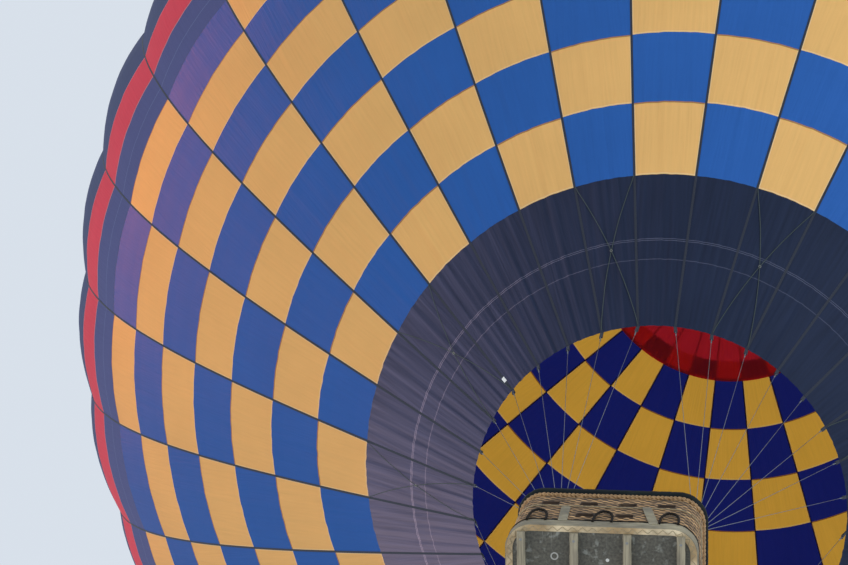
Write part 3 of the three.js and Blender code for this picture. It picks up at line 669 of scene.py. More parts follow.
def cloth(arc, place, lift=0.0):
    """Points of the cloth. Place counts gores from the tape left of the front gore. Between two tapes the
    cloth stands out of the line by the bulge times four shares times one less the share, plus its folds. The
    bulge is a share of the gore's width: little up to the upper checks, most round the widest part, and
    nothing at the vent."""
    radius, height, slope = on_tape(arc)
    share = place % 1
    rise = smooth(arc, CHECKS_ARC + BULGE_FLAT_ROW * ROW, CHECKS_ARC + BULGE_FULL_ROW * ROW)
    bulge = (BULGE_FLAT + (BULGE_FULL - BULGE_FLAT) * rise) * gore_width(arc)
    bulge = bulge * smooth(arc, MOUTH_ARC - BULGE_FROM_MOUTH, CHECKS_ARC)
    bulge = bulge * (1 - smooth(arc, VALVE_ARC - 3 * ROW, VALVE_ARC))
    out = bulge * 4 * share * (1 - share) + folds(arc, place) + lift
    azimuth = np.radians((place - 0.5) * GORE_TURN - 90)
    reach = radius + out * np.cos(slope)
    level = TIP_HEIGHT + height - out * np.sin(slope)
    return np.stack((reach * np.cos(azimuth), reach * np.sin(azimuth), level), -1)


def cloth_band(name, arcs, finish, node, columns=28, lift=0.0, body="root"):
    """A band of cloth from its first arc to its last. Map seams holds the distance to the nearest tape and
    the height above the row's lower seam, map cloth the distance across and the arc, attribute tan the light
    cells."""
    count = GORES * columns
    points = cloth(arcs[:, None], np.arange(count)[None] / columns, lift)
    mesh = bpy.data.meshes.new(name)
    mesh.from_pydata(points.reshape(-1, 3).tolist(), [], quads(len(arcs), count, True).tolist())
    left = np.arange(count) % columns / columns
    share = np.stack((left, left + 1 / columns, left + 1 / columns, left), -1)[None]
    arc = np.stack((arcs[:-1], arcs[:-1], arcs[1:], arcs[1:]), -1)[:, None]
    gore = (np.arange(count) // columns)[None, :, None]
    row = np.floor(((arcs[:-1] + arcs[1:]) / 2 - CHECKS_ARC) / ROW)[:, None, None]
    width = gore_width(arc)
    to_tape = np.minimum(share, 1 - share) * width
    for label, across, along in (("seams", to_tape, arc - CHECKS_ARC - ROW * row),
                                 ("cloth", (share - 0.5) * width + 5.3 * gore, arc)):
        flat = np.stack(np.broadcast_arrays(across, along), -1)
        mesh.uv_layers.new(name=label).data.foreach_set("uv", flat.ravel())
    checked = ((row >= 0) & (row < CHECK_ROWS)) | (row >= CHECK_ROWS + 2 + SHOULDER_ROWS)
    light = (((gore + row) % 2 == 0) & checked)[..., 0].astype(np.float32)
    mesh.attributes.new("tan", "FLOAT", "FACE").data.foreach_set("value", light.ravel())
    return finished(name, mesh, finish, body, [node], sharp=0)


class BALLOON_OT_envelope(bpy.types.Operator):
    """Cloth of the envelope in bands, and the valve that closes its vent"""
    bl_idname = "balloon.envelope"
    bl_label = "Envelope"

    def execute(self, context):
        colours = context.scene.balloon_colours
        edges = (("row", 0.014, 0.009, "f6e2bc", 0.35, True),
                 ("tape", 0.021, 0.006, "f6e2bc", 0.4, True),
                 ("row", ROW - 0.012, 0.012, "7a3a2c", 0.65, True))
        cone_lines = (("arc", 4.160, 0.004, "8d90a6", 0.28, False),
                      ("arc", 4.185, 0.004, "8d90a6", 0.28, False),
                      ("arc", 3.890, 0.005, "8d90a6", 0.18, False))
        shoulder_lines = (("row", 0.012, 0.008, "4a5378", 0.5, False),)
        blue_lines = (("row", 0.45 * ROW, 0.007, "8fa0c0", 0.5, False),)
        red_lines = (("row", 0.016, 0.014, "c9a0a4", 0.8, False),
                     ("row", ROW - 0.01, 0.008, "f0b8bc", 0.8, False))
        finishes = {
            "shoulder": cloth_finish("shoulder_satin_nylon", colours.shoulder, seams=shoulder_lines,
                                     wrinkle_shade=0.12),
            "cone": cloth_finish("cone_satin_nylon", colours.navy, seams=cone_lines, wrinkle_shade=0.35, mottle=0.15,
                                 bump=0.3),
            "checks": cloth_finish("checked_satin_nylon", colours.blue, colours.tan, edges),
            "blue": cloth_finish("blue_band_satin_nylon", colours.band, seams=blue_lines),
            "crown": cloth_finish("crown_satin_nylon", colours.indigo, colours.gold, edges, through=0.6),
            "red": cloth_finish("red_satin_nylon", colours.red, seams=red_lines),
            "valve": cloth_finish("valve_satin_nylon", colours.red),
        }
        for name, node, arcs, finish, slot in BANDS:
            cloth_band(name, arcs, finishes[finish], node)
        dome = np.append(steps(VALVE_ARC, TOP_ARC - 0.02, 0.25), TOP_ARC)
        cloth_band("valve_cloth", dome, finishes["valve"], "parachute_valve", columns=8,
                   lift=-SHELL - VALVE_GAP, body="parachute")
        return {"FINISHED"}


def wire_route(gore):
    """A wire's corner, its ends and its direction: it leaves the mouth at its tape and runs straight to its
    corner's thimble."""
    azimuth = tape_azimuth(gore)
    name, (sx, sy) = next((name, signs) for name, signs in CORNERS.items()
                          if signs[0] * math.cos(azimuth) > 0 and signs[1] * math.sin(azimuth) > 0)
    radius, height, slope = on_tape(MOUTH_ARC)
    radius, height = radius - SHELL / 2 * np.cos(slope), TIP_HEIGHT + height + SHELL / 2 * np.sin(slope)
    mouth = radius * outward(azimuth) + height * UP
    diagonal = math.atan2(sy, sx)
    reach = math.copysign(THIMBLE_REACH, math.sin(azimuth - diagonal))
    thimble = np.array((sx * FRAME_X, sy * FRAME_Y, THIMBLE_HEIGHT)) + reach * sideways(diagonal)
    down = (thimble - mouth) / np.linalg.norm(thimble - mouth)
    return name, mouth, thimble, down


def tape_ribbon(gore, arcs, width, lift):
    """A flat ribbon on the cloth along one tape, with three points across its outer face and three inside."""
    offset = width / 2 * np.array((1, 0, -1, -1, 0, 1))
    height = np.array((lift, lift, lift, 0.0005, 0.0005, 0.0005))
    place = gore + offset[None] / gore_width(arcs)[:, None]
    return surface(capped(cloth(arcs[:, None], place % GORES, height[None])))


def tape_loop(gore):
    """A tape's loop under the mouth: down along the wire, round half a circle and back up behind itself."""
    _, mouth, _, down = wire_route(gore)
    across = sideways(tape_azimuth(gore))
    bend = np.linspace(np.pi / 2, -np.pi / 2, 9)
    along = np.concatenate(((-0.02, 0.03), LOOP_LENGTH - LOOP_BEND + LOOP_BEND * np.cos(bend), (0.03, -0.02)))
    away = np.concatenate(((0.003, 0.004), LOOP_BEND * np.sin(bend), (-0.004, -0.003)))
    path = mouth + along[:, None] * down + away[:, None] * np.cross(across, down)
    section = np.array(((0.0015, -0.02), (0.0015, 0.02), (-0.0015, 0.02), (-0.0015, -0.02)))
    return carried(path, section, up=across)


def cone_cord(gore, leans_back, radius):
    """A cord over one gore of the cone: from one tape at the checks it leans to the other at the mouth."""
    share = np.linspace(0, 1, 25)
    across = np.clip(1 - share if leans_back else share, 0.01, 0.99)
    return carried(cloth(CHECKS_ARC + (CORD_ARC - CHECKS_ARC) * share, gore + across, 0.012), ring(radius, 6))


def crossing_ring(gore):
    """A ring where a gore's two cords cross: its middle plus its radius times cosine across and sine down."""
    crossing = (CHECKS_ARC + CORD_ARC) / 2
    centre, above = cloth(np.array((crossing, crossing + 0.1)), gore + 0.5, 0.018)
    down = (centre - above) / np.linalg.norm(centre - above)
    across = sideways(tape_azimuth(gore + 0.5))
    turn = around(20)[:, None]
    hoop = centre + CROSSING_RADIUS * (np.cos(turn) * across + np.sin(turn) * down)
    return carried(hoop, ring(CROSSING_BAR, 8), closed=True, up=np.cross(across, down))


def tape_tag():
    """A small flat tag that lies on the cloth over one tape, as a box of eight points and six faces."""
    across = TAG_WIDTH / 2 * np.array((-1, 1, 1, -1)) / gore_width(MOUTH_ARC + 0.2)
    arc = TAG_ARC + TAG_HEIGHT * np.array((0, 0, 1, 1))
    points = np.concatenate([cloth(arc, TAG_GORE + across, lift) for lift in (0.008, 0.006)])
    faces = ((0, 1, 2, 3), (7, 6, 5, 4), (0, 4, 5, 1), (1, 5, 6, 2), (2, 6, 7, 3), (3, 7, 4, 0))
    return points, np.array(faces)


class BALLOON_OT_tapes(bpy.types.Operator):
    """Load tapes, their loops at the mouth, the crossed cords over the cone and the crown ring"""
    bl_idname = "balloon.tapes"
    bl_label = "Tapes and crown ring"

    def execute(self, context):
        sizes, colours = context.scene.balloon_sizes, context.scene.balloon_colours
        webbing = webbing_finish("black_polyester_webbing", colours.tape)
        rows = [arcs for _, _, arcs, _, _ in BANDS] + [steps(VENT_ARC, RING_ARC, 0.3)]
        arcs = np.unique(np.round(np.concatenate(rows), 6))
        ribbons = [tape_ribbon(gore, arcs, sizes.tape_width, sizes.tape_lift) for gore in range(GORES)]
        piece("load_tapes", ribbons, webbing, sharp=50)
        piece("tape_loops", [tape_loop(gore) for gore in range(GORES)], webbing, sharp=50)

        cords = [cone_cord(gore, leans_back, sizes.cord)
                 for gore in CORD_GORES for leans_back in (False, True)]
        rings = [crossing_ring(gore) for gore in CORD_GORES]
        steel = metal_finish("cord_crossing_ring", linear("8c8c86"), 0.5, (90, 90, 90))
        piece("cone_cords", cords, rope_finish("grey_green_cord", linear("4a534f")))
        piece("cord_rings", rings, steel)
        piece("tape_tag", [tape_tag()], webbing_finish("blank_woven_tag", linear("e6e6e2")))

        metal = metal_finish("turned_aluminium_ring", colours.aluminium, 0.32, (40, 40, 300))
        hoop = np.column_stack((ring(RING_RADIUS, 96), np.full(96, TOP_HEIGHT + RING_BAR / 2)))
        hoop = carried(hoop, ring(RING_BAR, 16), closed=True)
        piece("crown_hoop", [hoop], metal, replaced=["crown_ring"])
        return {"FINISHED"}


def flying_wire(gore, radius):
    """The eye in a tape's loop, the wire from there to its thimble, and a pressed sleeve near either end."""
    _, mouth, thimble, down = wire_route(gore)
    across = sideways(tape_azimuth(gore))
    top = mouth + down * (LOOP_LENGTH + 0.006)
    turn = around(16)[:, None]
    eye = top + EYE_RADIUS * (np.sin(turn) * np.cross(across, down) - np.cos(turn) * down)
    return [carried(eye, ring(EYE_BAR, 8), closed=True, up=across),
            rod(top + down * 0.008, thimble, radius, 8, 0.001),
            rod(top + down * 0.02, top + down * 0.07, SLEEVE_RADIUS, 10, SLEEVE_EDGE),
            rod(thimble - down * 0.13, thimble - down * 0.07, SLEEVE_RADIUS, 10, SLEEVE_EDGE)]


class BALLOON_OT_rigging(bpy.types.Operator):
    """Flying wires with their sleeves and eyes, and the karabiners"""
    bl_idname = "balloon.rigging"
    bl_label = "Wires and karabiners"

    def execute(self, context):
        sizes, colours = context.scene.balloon_sizes, context.scene.balloon_colours
        steel = metal_finish("stranded_steel_wire", linear("8f9498"), 0.5, (300, 300, 60))
        bright = metal_finish("forged_steel_karabiner", colours.steel, 0.28, (60, 60, 200))
        for name, (sx, sy) in CORNERS.items():
            gores = [gore for gore in range(GORES) if wire_route(gore)[0] == name]
            parts = [part for gore in gores for part in flying_wire(gore, sizes.wire)]
            across, out = sideways(math.atan2(sy, sx)), outward(math.atan2(sy, sx))
            foot = np.array((sx * FRAME_X, sy * FRAME_Y, 0))
            bolt = foot + UP * THIMBLE_HEIGHT
            parts.append(rod(bolt - BOLT_HALF * across, bolt + BOLT_HALF * across, BOLT_RADIUS, 20, 0.002))
            for side in (-1, 1):
                face, back = bolt + side * (BOLT_HALF + 0.006) * across, bolt + side * BOLT_HALF * across
                parts.append(rod(back, face, BOLT_HEAD, 20, 0.002))
            piece("wires_" + name, parts, steel, replaced=["flying_wires_" + name])

            half_x, half_z = (KARABINER_WIDTH - KARABINER_BAR) / 2, (KARABINER_HEIGHT - KARABINER_BAR) / 2
            outline = rounded(half_x, half_z, KARABINER_CORNER, 7)
            middle = foot + UP * (KARABINER_BOTTOM + KARABINER_HEIGHT / 2)
            path = middle + outline[:, :1] * out + outline[:, 1:] * UP
            gate = middle + out * half_x
            parts = [carried(path, ring(KARABINER_BAR / 2, 16), closed=True, up=across),
                     rod(gate - UP * 0.02, gate + UP * 0.014, 0.0085, 18, 0.002)]
            piece("screw_" + name, parts, bright, replaced=["karabiner_" + name])
        return {"FINISHED"}


def frame_parts():
    """The load frame: four tubes, two arms with pivots and collars, and a socket and a lug at each corner."""
    parts = []
    for side in (-1, 1):
        x, y = side * FRAME_X, side * FRAME_Y
        bars = (((x, -FRAME_Y), (x, FRAME_Y), FRAME_TUBE, 24),
                ((-FRAME_X, y), (FRAME_X, y), FRAME_TUBE, 24),
                ((x, 0), (side * ARM_END, 0), FRAME_TUBE, 24),
                ((side * PIVOT_START, 0), (side * PIVOT_END, 0), 0.012, 20),
                ((side * (FRAME_X - 0.03), 0), (side * (FRAME_X - 0.05), 0), 0.024, 24))
        for start, end, radius, sides in bars:
            parts.append(rod((*start, FRAME_Z), (*end, FRAME_Z), radius, sides))
    inner, low, high = SOCKET - SOCKET_EDGE, SOCKET_BOTTOM + SOCKET_EDGE, SOCKET_TOP - SOCKET_EDGE
    socket = ((0, SOCKET_BOTTOM), (inner, SOCKET_BOTTOM), (SOCKET, low), (SOCKET, high), (inner, SOCKET_TOP),
              (0, SOCKET_TOP))
    shoulder = LUG_TOP - 0.010
    rise = ((LUG_HALF, shoulder), (LUG_HALF, LUG_MIDDLE), (LUG_HALF, LUG_BOTTOM))
    lug = np.array((*[(-x, z) for x, z in rise[::-1]], (0, LUG_TOP - 0.0085), *rise))
    section = np.array(((-0.0085, -0.006), (0.0085, -0.006), (0.0085, 0.006), (-0.0085, 0.006)))
    for sx, sy in CORNERS.values():
        x, y = sx * FRAME_X, sy * FRAME_Y
        across, out = sideways(math.atan2(sy, sx)), outward(math.atan2(sy, sx))
        parts.append(turned(socket, x, y, 32))
        parts.append(carried(np.array((x, y, 0)) + lug[:, :1] * across + lug[:, 1:] * UP, section, up=out))
    return parts


class BALLOON_OT_frame(bpy.types.Operator):
    """Load frame, gimbal and the padded poles"""
    bl_idname = "balloon.frame"
    bl_label = "Load frame and poles"

    def execute(self, context):
        colours = context.scene.balloon_colours
        tube = metal_finish("brushed_stainless_tube", colours.steel, 0.34, (220, 220, 220))
        piece("frame_tubes", frame_parts(), tube, replaced=["load_frame"])
        node_copy("gimbal_ring", "gimbal_frame", tube, "gimbal", 0.003)

        # A padded sleeve: drawn in at both ends, pinched at nine laces, with a raised seam and a slow twist
        sleeve = hide_finish("stitched_pole_hide", colours.hide, "b9ad97", 0.3)
        share, angle = np.linspace(0, 1, 91)[:, None], around(28)
        ends = smooth(share, -0.02, 0.02) * smooth(1 - share, -0.02, 0.02)
        pads = 1 - 0.06 * np.exp(-((share * 9 % 1 - 0.5) / 0.07) ** 2)
        seam = 0.05 * np.exp(-(np.sin(angle / 2) / 0.1) ** 2)
        reach = POLE_RADIUS * (0.72 + 0.28 * ends * pads)
        reach = reach * (1 + seam + 0.012 * np.sin(5 * angle + 40 * share))
        section = np.stack((reach * np.cos(angle), reach * np.sin(angle)), -1)
        for name, (sx, sy) in CORNERS.items():
            foot = np.array((sx * POLE_X, sy * POLE_Y, POLE_BOTTOM))
            head = np.array((sx * FRAME_X, sy * FRAME_Y, POLE_TOP))
            pole = carried(foot + share * (head - foot), section, up=np.array((-sx, 0.0, 0.0)))
            made = piece("pole_sleeve_" + name, [pole], sleeve, replaced=["pole_" + name])
        return {"FINISHED"}


def can_profile():
    """A spun can: up the outside over two rolled beads and the lip, down the inside and in along the base."""
    bottom = BLOCK_TOP + SEAT
    top = bottom + CAN_HEIGHT
    inner = CAN_RADIUS - CAN_SHEET
    profile = [(CAN_HOLE, bottom), (inner, bottom), (CAN_RADIUS - 0.001, bottom + 0.001),
               (CAN_RADIUS, bottom + CAN_SHEET)]
    for bead in (bottom + 0.045, bottom + 0.145):
        profile += [(CAN_RADIUS, bead - 0.006), (CAN_RADIUS - 0.003, bead), (CAN_RADIUS, bead + 0.006)]
    profile += [(CAN_RADIUS, top - 0.002), (CAN_RADIUS - 0.002, top), (inner, top - 0.001),
                (inner, bottom + CAN_SHEET), (CAN_HOLE, bottom + CAN_SHEET), (CAN_HOLE, bottom)]
    return profile


class BALLOON_OT_burners(bpy.types.Operator):
    """Burner beam and valve blocks, cans and vaporiser coils"""
    bl_idname = "balloon.burners"
    bl_label = "Burners"

    def execute(self, context):
        colours = context.scene.balloon_colours
        block = metal_finish("cast_aluminium_block", colours.steel, 0.42, (90, 90, 90))
        can = metal_finish("spun_stainless_can", colours.steel, 0.3, (30, 30, 400), "8a6f52")
        coil = metal_finish("heat_stained_coil", colours.steel, 0.36, (120, 120, 120), "7a5a44")
        node_copy("burner_beam", "burner_frame", block, "burners", 0.004)
        jet = [(reach, COIL_BOTTOM + height) for reach, height in (
            (0, 0), (0.05, 0), (0.052, 0.0035), (0.052, 0.0175), (0.046, 0.0215), (0, 0.0215))]
        angle = np.linspace(0, 2 * np.pi * COIL_TURNS, 40 * COIL_TURNS + 1)
        pitch = (COIL_HEIGHT - 2 * COIL_TUBE) / (COIL_TURNS * 2 * np.pi)
        for name, (sx, sy) in CORNERS.items():
            x, y = sx * BURNER_X, sy * BURNER_Y
            parts = [turned(can_profile(), x, y, 64)]
            piece("can_" + name, parts, can, "burners", ["burner_can_" + name])
            helix = np.stack((x + COIL_RADIUS * np.cos(angle), y + COIL_RADIUS * np.sin(angle),
                              COIL_BOTTOM + COIL_TUBE + pitch * angle), -1)
            parts = [carried(helix, ring(COIL_TUBE, 12)), turned(jet, x, y, 32)]
            piece("coil_" + name, parts, coil, "burners", ["burner_coil_" + name])
        return {"FINISHED"}


def basket_outline(step, end_marks=(), side_marks=()):
    """A walk round the basket: middle of the corner's turn or of the run, outward direction, and distance
    walked. A point at an offset is the middle plus the corner radius and the offset times the direction."""
    runs = []
    straight = (HALF_X - CORNER, HALF_Y - CORNER)
    for quarter in range(4):
        normal = math.pi / 2 * quarter
        near, far = straight if quarter % 2 == 0 else straight[::-1]
        marks = side_marks if quarter % 2 == 0 else end_marks
        stops = np.unique(np.round(np.concatenate(((-far, far), marks)), 5))
        along = np.concatenate([steps(a, b, step)[:-1] for a, b in zip(stops[:-1], stops[1:])])
        direction = np.array((math.cos(normal), math.sin(normal)))
        run = np.array((-direction[1], direction[0]))
        runs.append((near * direction + along[:, None] * run, np.tile(direction, (len(along), 1))))
        turn = np.linspace(0, np.pi / 2, math.ceil(CORNER * np.pi / 2 / step) + 1)[:-1] + normal
        corner = near * direction + far * run
        runs.append((np.tile(corner, (len(turn), 1)), np.stack((np.cos(turn), np.sin(turn)), -1)))
    core, out = (np.concatenate(parts) for parts in zip(*runs))
    place = core + CORNER * out
    walked = np.concatenate(((0,), np.cumsum(np.linalg.norm(np.roll(place, -1, 0) - place, axis=1))))
    return core, out, walked


def round_basket(step, offset, height):
    """A closed path round the basket at an offset from its outer face, at a height."""
    core, out, walked = basket_outline(step)
    place = core + (CORNER + offset) * out
    return np.column_stack((place, np.full(len(place), height))), walked[:-1]


def weave(distance, level, stake, strand, depth):
    """A strand swings out over one stake and in behind the next, and its neighbour the other way round; where
    two strands meet the surface dips. Returns the height and the swing."""
    number = np.floor(level / strand + 1e-4)
    share = level / strand - number
    meeting = share < 0.02
    swing = np.where(meeting, 0.0, np.cos(np.pi * (distance / stake + number)))
    return depth * swing - np.where(meeting, 0.7 * depth, 0.0), np.where(meeting, -1.0, swing)


def woven_rows(per_strand):
    """Heights of the weave's rows: each strand is cut in equal parts."""
    strand = bpy.context.scene.balloon_sizes.strand
    count = round((RIM_BOTTOM - FLOOR_TOP) / strand) * per_strand
    return FLOOR_TOP + np.arange(count + 1) * strand / per_strand


def woven(name, columns, rows, finish, replaced, holes=None):
    """A woven sheet with a map of distance and height, an attribute for how deep each point lies, and its
    holes left out. Columns are points, outward directions and distances; rows are heights."""
    sizes = bpy.context.scene.balloon_sizes
    place, out, distance = columns
    shift, swing = weave(distance[None], rows[:, None] - FLOOR_TOP, sizes.stake, sizes.strand, sizes.weave)
    flat = place[None] + out[None] * shift[..., None]
    points = np.concatenate((flat, np.broadcast_to(rows[:, None, None], (*shift.shape, 1))), -1)
    faces = quads(*shift.shape, False)
    if holes:
        faces = faces[~holes(place, out, rows).ravel()]
    mesh = bpy.data.meshes.new(name)
    mesh.from_pydata(points.reshape(-1, 3).tolist(), [], faces.tolist())
    chart = np.stack(np.broadcast_arrays(distance[None], rows[:, None] - FLOOR_TOP), -1).reshape(-1, 2)
    mesh.uv_layers.new(name="weave").data.foreach_set("uv", chart[faces.ravel()].ravel())
    mesh.attributes.new("depth", "FLOAT", "POINT").data.foreach_set("value", swing.astype(np.float32).ravel())
    return finished(name, mesh, finish, "root", replaced, sharp=0)


def wall_holes(place, out, rows):
    """True for each cell of the wall's grid that lies in a step hole."""
    middle, facing = (place[:-1] + place[1:]) / 2, (out[:-1] + out[1:]) / 2
    height = (rows[:-1] + rows[1:])[:, None] / 2
    on_end, on_side = np.abs(facing[:, 1]) > 0.999, np.abs(facing[:, 0]) > 0.999
    gone = np.zeros((len(rows) - 1, len(middle)), bool)
    for level, places in STEP_LEVELS:
        in_row = abs(height - level) < STEP_HEIGHT / 2
        for x in places:
            gone |= in_row & on_end & (np.abs(middle[:, 0] - x) < STEP_WIDTH / 2)
        gone |= in_row & on_side & (np.abs(middle[:, 1]) < STEP_WIDTH / 2)
    return gone


def step_places():
    """Middle, direction along the wall and outward direction of every step hole."""
    x_axis, y_axis = np.array((1.0, 0, 0)), np.array((0, 1.0, 0))
    for side in (-1, 1):
        for level, places in STEP_LEVELS:
            for x in places:
                yield np.array((x, side * (HALF_Y - WALL / 2), level)), x_axis, y_axis
            yield np.array((side * (HALF_X - WALL / 2), 0, level)), y_axis, x_axis


def basket_wall(cane):
    """The wall's outer and inner weave, which both leave the step holes open, and the holes' linings."""
    end_marks = [x + side * STEP_WIDTH / 2 for x in STEP_LEVELS[0][1] for side in (-1, 1)]
    side_marks = [-STEP_WIDTH / 2, STEP_WIDTH / 2]
    for name, step, offset, per_strand, way, replaced in (
            ("basket_weave", 0.0125, 0.0, 3, 1, ["basket_wall"]),
            ("basket_weave_inside", 0.018, -WALL, 2, -1, [])):
        core, out, walked = basket_outline(step, end_marks, side_marks)
        core, out = (np.concatenate((part, part[:1])) for part in (core, out))
        place = core + (CORNER + offset - WEAVE_INSET * way) * out
        columns = [part[::way] for part in (place, out * way, walked)]
        woven(name, columns, woven_rows(per_strand), cane, replaced, wall_holes)

    outline = rounded(STEP_WIDTH / 2 - LINING_INSET, STEP_HEIGHT / 2 - LINING_INSET, LINING_CORNER, 5)
    angle = around(12)
    section = np.stack((0.0035 * np.cos(angle), 0.031 * curve(np.sin(angle), 0.5)), -1)
    lining = [carried(middle + outline[:, :1] * along + outline[:, 1:] * UP, section, closed=True, up=out)
              for middle, along, out in step_places()]
    piece("step_linings", lining, hide_finish("step_edge_hide", linear("4a382a"), "6b5640", 0.3))


def basket_rim(hide, cane, rope):
    """The padded rim, pinched by its lacing every 120 mm, the braid under it and the lacing between."""
    path, walked = round_basket(0.02, -0.025, (RIM_BOTTOM + RIM_TOP) / 2)
    angle = around(24)
    pinch = 1 - 0.035 * np.exp(-((walked / PAD_PITCH % 1 - 0.5) / 0.09) ** 2)
    wide, tall = PAD_HALF_WIDTH * curve(np.cos(angle), 0.7), PAD_HALF_HEIGHT * curve(np.sin(angle), 0.75)
    section = np.stack((wide, tall), -1)[None] * pinch[:, None, None]
    pad = carried(path, section, closed=True)
    rim = piece("rim_pad", [pad], hide, replaced=["basket_rim"])

    path, walked = round_basket(0.012, 0.004, BRAID_HEIGHT)
    section = ring(BRAID_RADIUS, 12, lobes=3, depth=0.28, turn=2 * np.pi * walked / BRAID_PITCH)
    piece("border_braid", [carried(path, section, closed=True)], cane)

    path, walked = round_basket(0.015, 0.0125, RIM_BOTTOM)
    path[:, 2] += 0.007 * np.abs((walked / LACING_PITCH) % 2 - 1)
    piece("rim_lacing", [carried(path, ring(LACING_RADIUS, 6), closed=True)], rope)


def basket_base(hide, pale, lacing):
    """The scuff band, wavy on its outer face, its edge turned in under the basket and that edge's lacing."""
    path, walked = round_basket(0.03, 0.0045, (BAND_BOTTOM + BAND_TOP) / 2)
    share, walk = np.linspace(-1, 1, 13), walked[:, None]
    wave = 0.0012 * np.sin(walk * 21 + 3 * share) + 0.001 * np.sin(walk * 47 - 5 * share)
    height = (BAND_TOP - BAND_BOTTOM) / 2 * share + 0 * wave
    outer = np.stack((-0.0035 - wave, height), -1)[:, ::-1]
    inner = np.stack((0.0035 + 0 * wave, height), -1)
    band = carried(path, np.concatenate((outer, inner), 1), closed=True)
    piece("scuff_hide", [band], hide, replaced=["scuff_band"])

    core, out, _ = basket_outline(0.03)
    reach = np.array((0.004, 0.004, -0.03, -0.058, -0.058, -0.03))
    level = np.array((0.0385, 0.0425, 0.0435, 0.0455, 0.049, 0.049))
    flat = core[:, None] + (CORNER + reach[None, :, None]) * out[:, None]
    points = np.concatenate((flat, np.broadcast_to(level[None, :, None], (*flat.shape[:2], 1))), -1)
    piece("under_edge", [surface(np.concatenate((points, points[:1])))], pale)

    path, walked = round_basket(0.012, -0.03, 0.0415)
    _, out, _ = basket_outline(0.012)
    path[:, :2] += (0.020 * (np.abs((walked / 0.045) % 2 - 1) * 2 - 1))[:, None] * out
    piece("under_lacing", [carried(path, ring(0.003, 6), closed=True)], lacing)


def rope_handles(radius):
    """Handles round the basket: a cosine across, a power of the sine for the rise, the sine away from it."""
    share = np.linspace(0, 1, 33)
    across = -HANDLE_HALF * np.cos(np.pi * share)
    rise = HANDLE_BOTTOM + HANDLE_RISE * np.sin(np.pi * share) ** 0.6
    away = 0.014 + 0.012 * np.sin(np.pi * share)
    section = ring(radius, 12, lobes=3, depth=0.14, turn=share * 22)
    places = [((x, side * HALF_Y, 0), (1.0, 0, 0), (0, side, 0)) for side in (-1, 1) for x in HANDLES_X]
    places += [((side * HALF_X, y, 0), (0, 1.0, 0), (side, 0, 0)) for side in (-1, 1) for y in HANDLES_Y]
    handles = []
    for foot, along, out in np.array(places):
        path = foot + across[:, None] * along + rise[:, None] * UP + away[:, None] * out
        handles.append(carried(path, section, up=out))
    return handles


def wall_straps():
    """Two leaning straps on each end: flat ribbons that narrow at the top and ripple on the weave."""
    straps = []
    share = np.linspace(0, 1, 41)
    wide = 0.0425 * (1 - 0.25 * np.exp(-((share - 1) / 0.03) ** 2))
    thick = 0.0025 * np.tile((1, 1, -1, -1), (41, 1))
    section = np.stack([wide[:, None] * np.array((1, -1, -1, 1)), thick], -1)
    for side in (-1, 1):
        away = side * (HALF_Y + 0.009 + 0.002 * np.sin(share * 19))
        for start, end, bottom, top in ((0.36, 0.38, 0.17, 0.63), (-0.47, -0.36, 0.15, 0.68)):
            across = side * (start + (end - start) * share)
            path = np.column_stack((across, away, bottom + (top - bottom) * share))
            straps.append(carried(path, section, up=np.array((0.0, side, 0.0))))
    return straps


def runner_parts(x, number):
    """A worn runner: a squarish section that chips along its edges and lifts off the ground at both ends."""
    along = np.linspace(-RUNNER_HALF, RUNNER_HALF, 111)
    ends = 1 - 0.25 * (1 - smooth(RUNNER_HALF - np.abs(along), 0, 0.05))
    chips = 0.0015 * np.sin(along * 31 + number) + 0.001 * np.sin(along * 83 + 2 * number)
    angle = around(20)
    wide = (RUNNER_WIDTH / 2 - 0.0025 + chips)[:, None] * curve(np.cos(angle), 0.35)
    tall = RUNNER_HEIGHT / 2 * curve(np.sin(angle), 0.35)
    tall = np.where(tall < 0, tall * ends[:, None], tall)
    path = np.column_stack((np.full(111, x), along, np.full(111, RUNNER_HEIGHT / 2)))
    return [carried(path, np.stack((wide, tall), -1))]


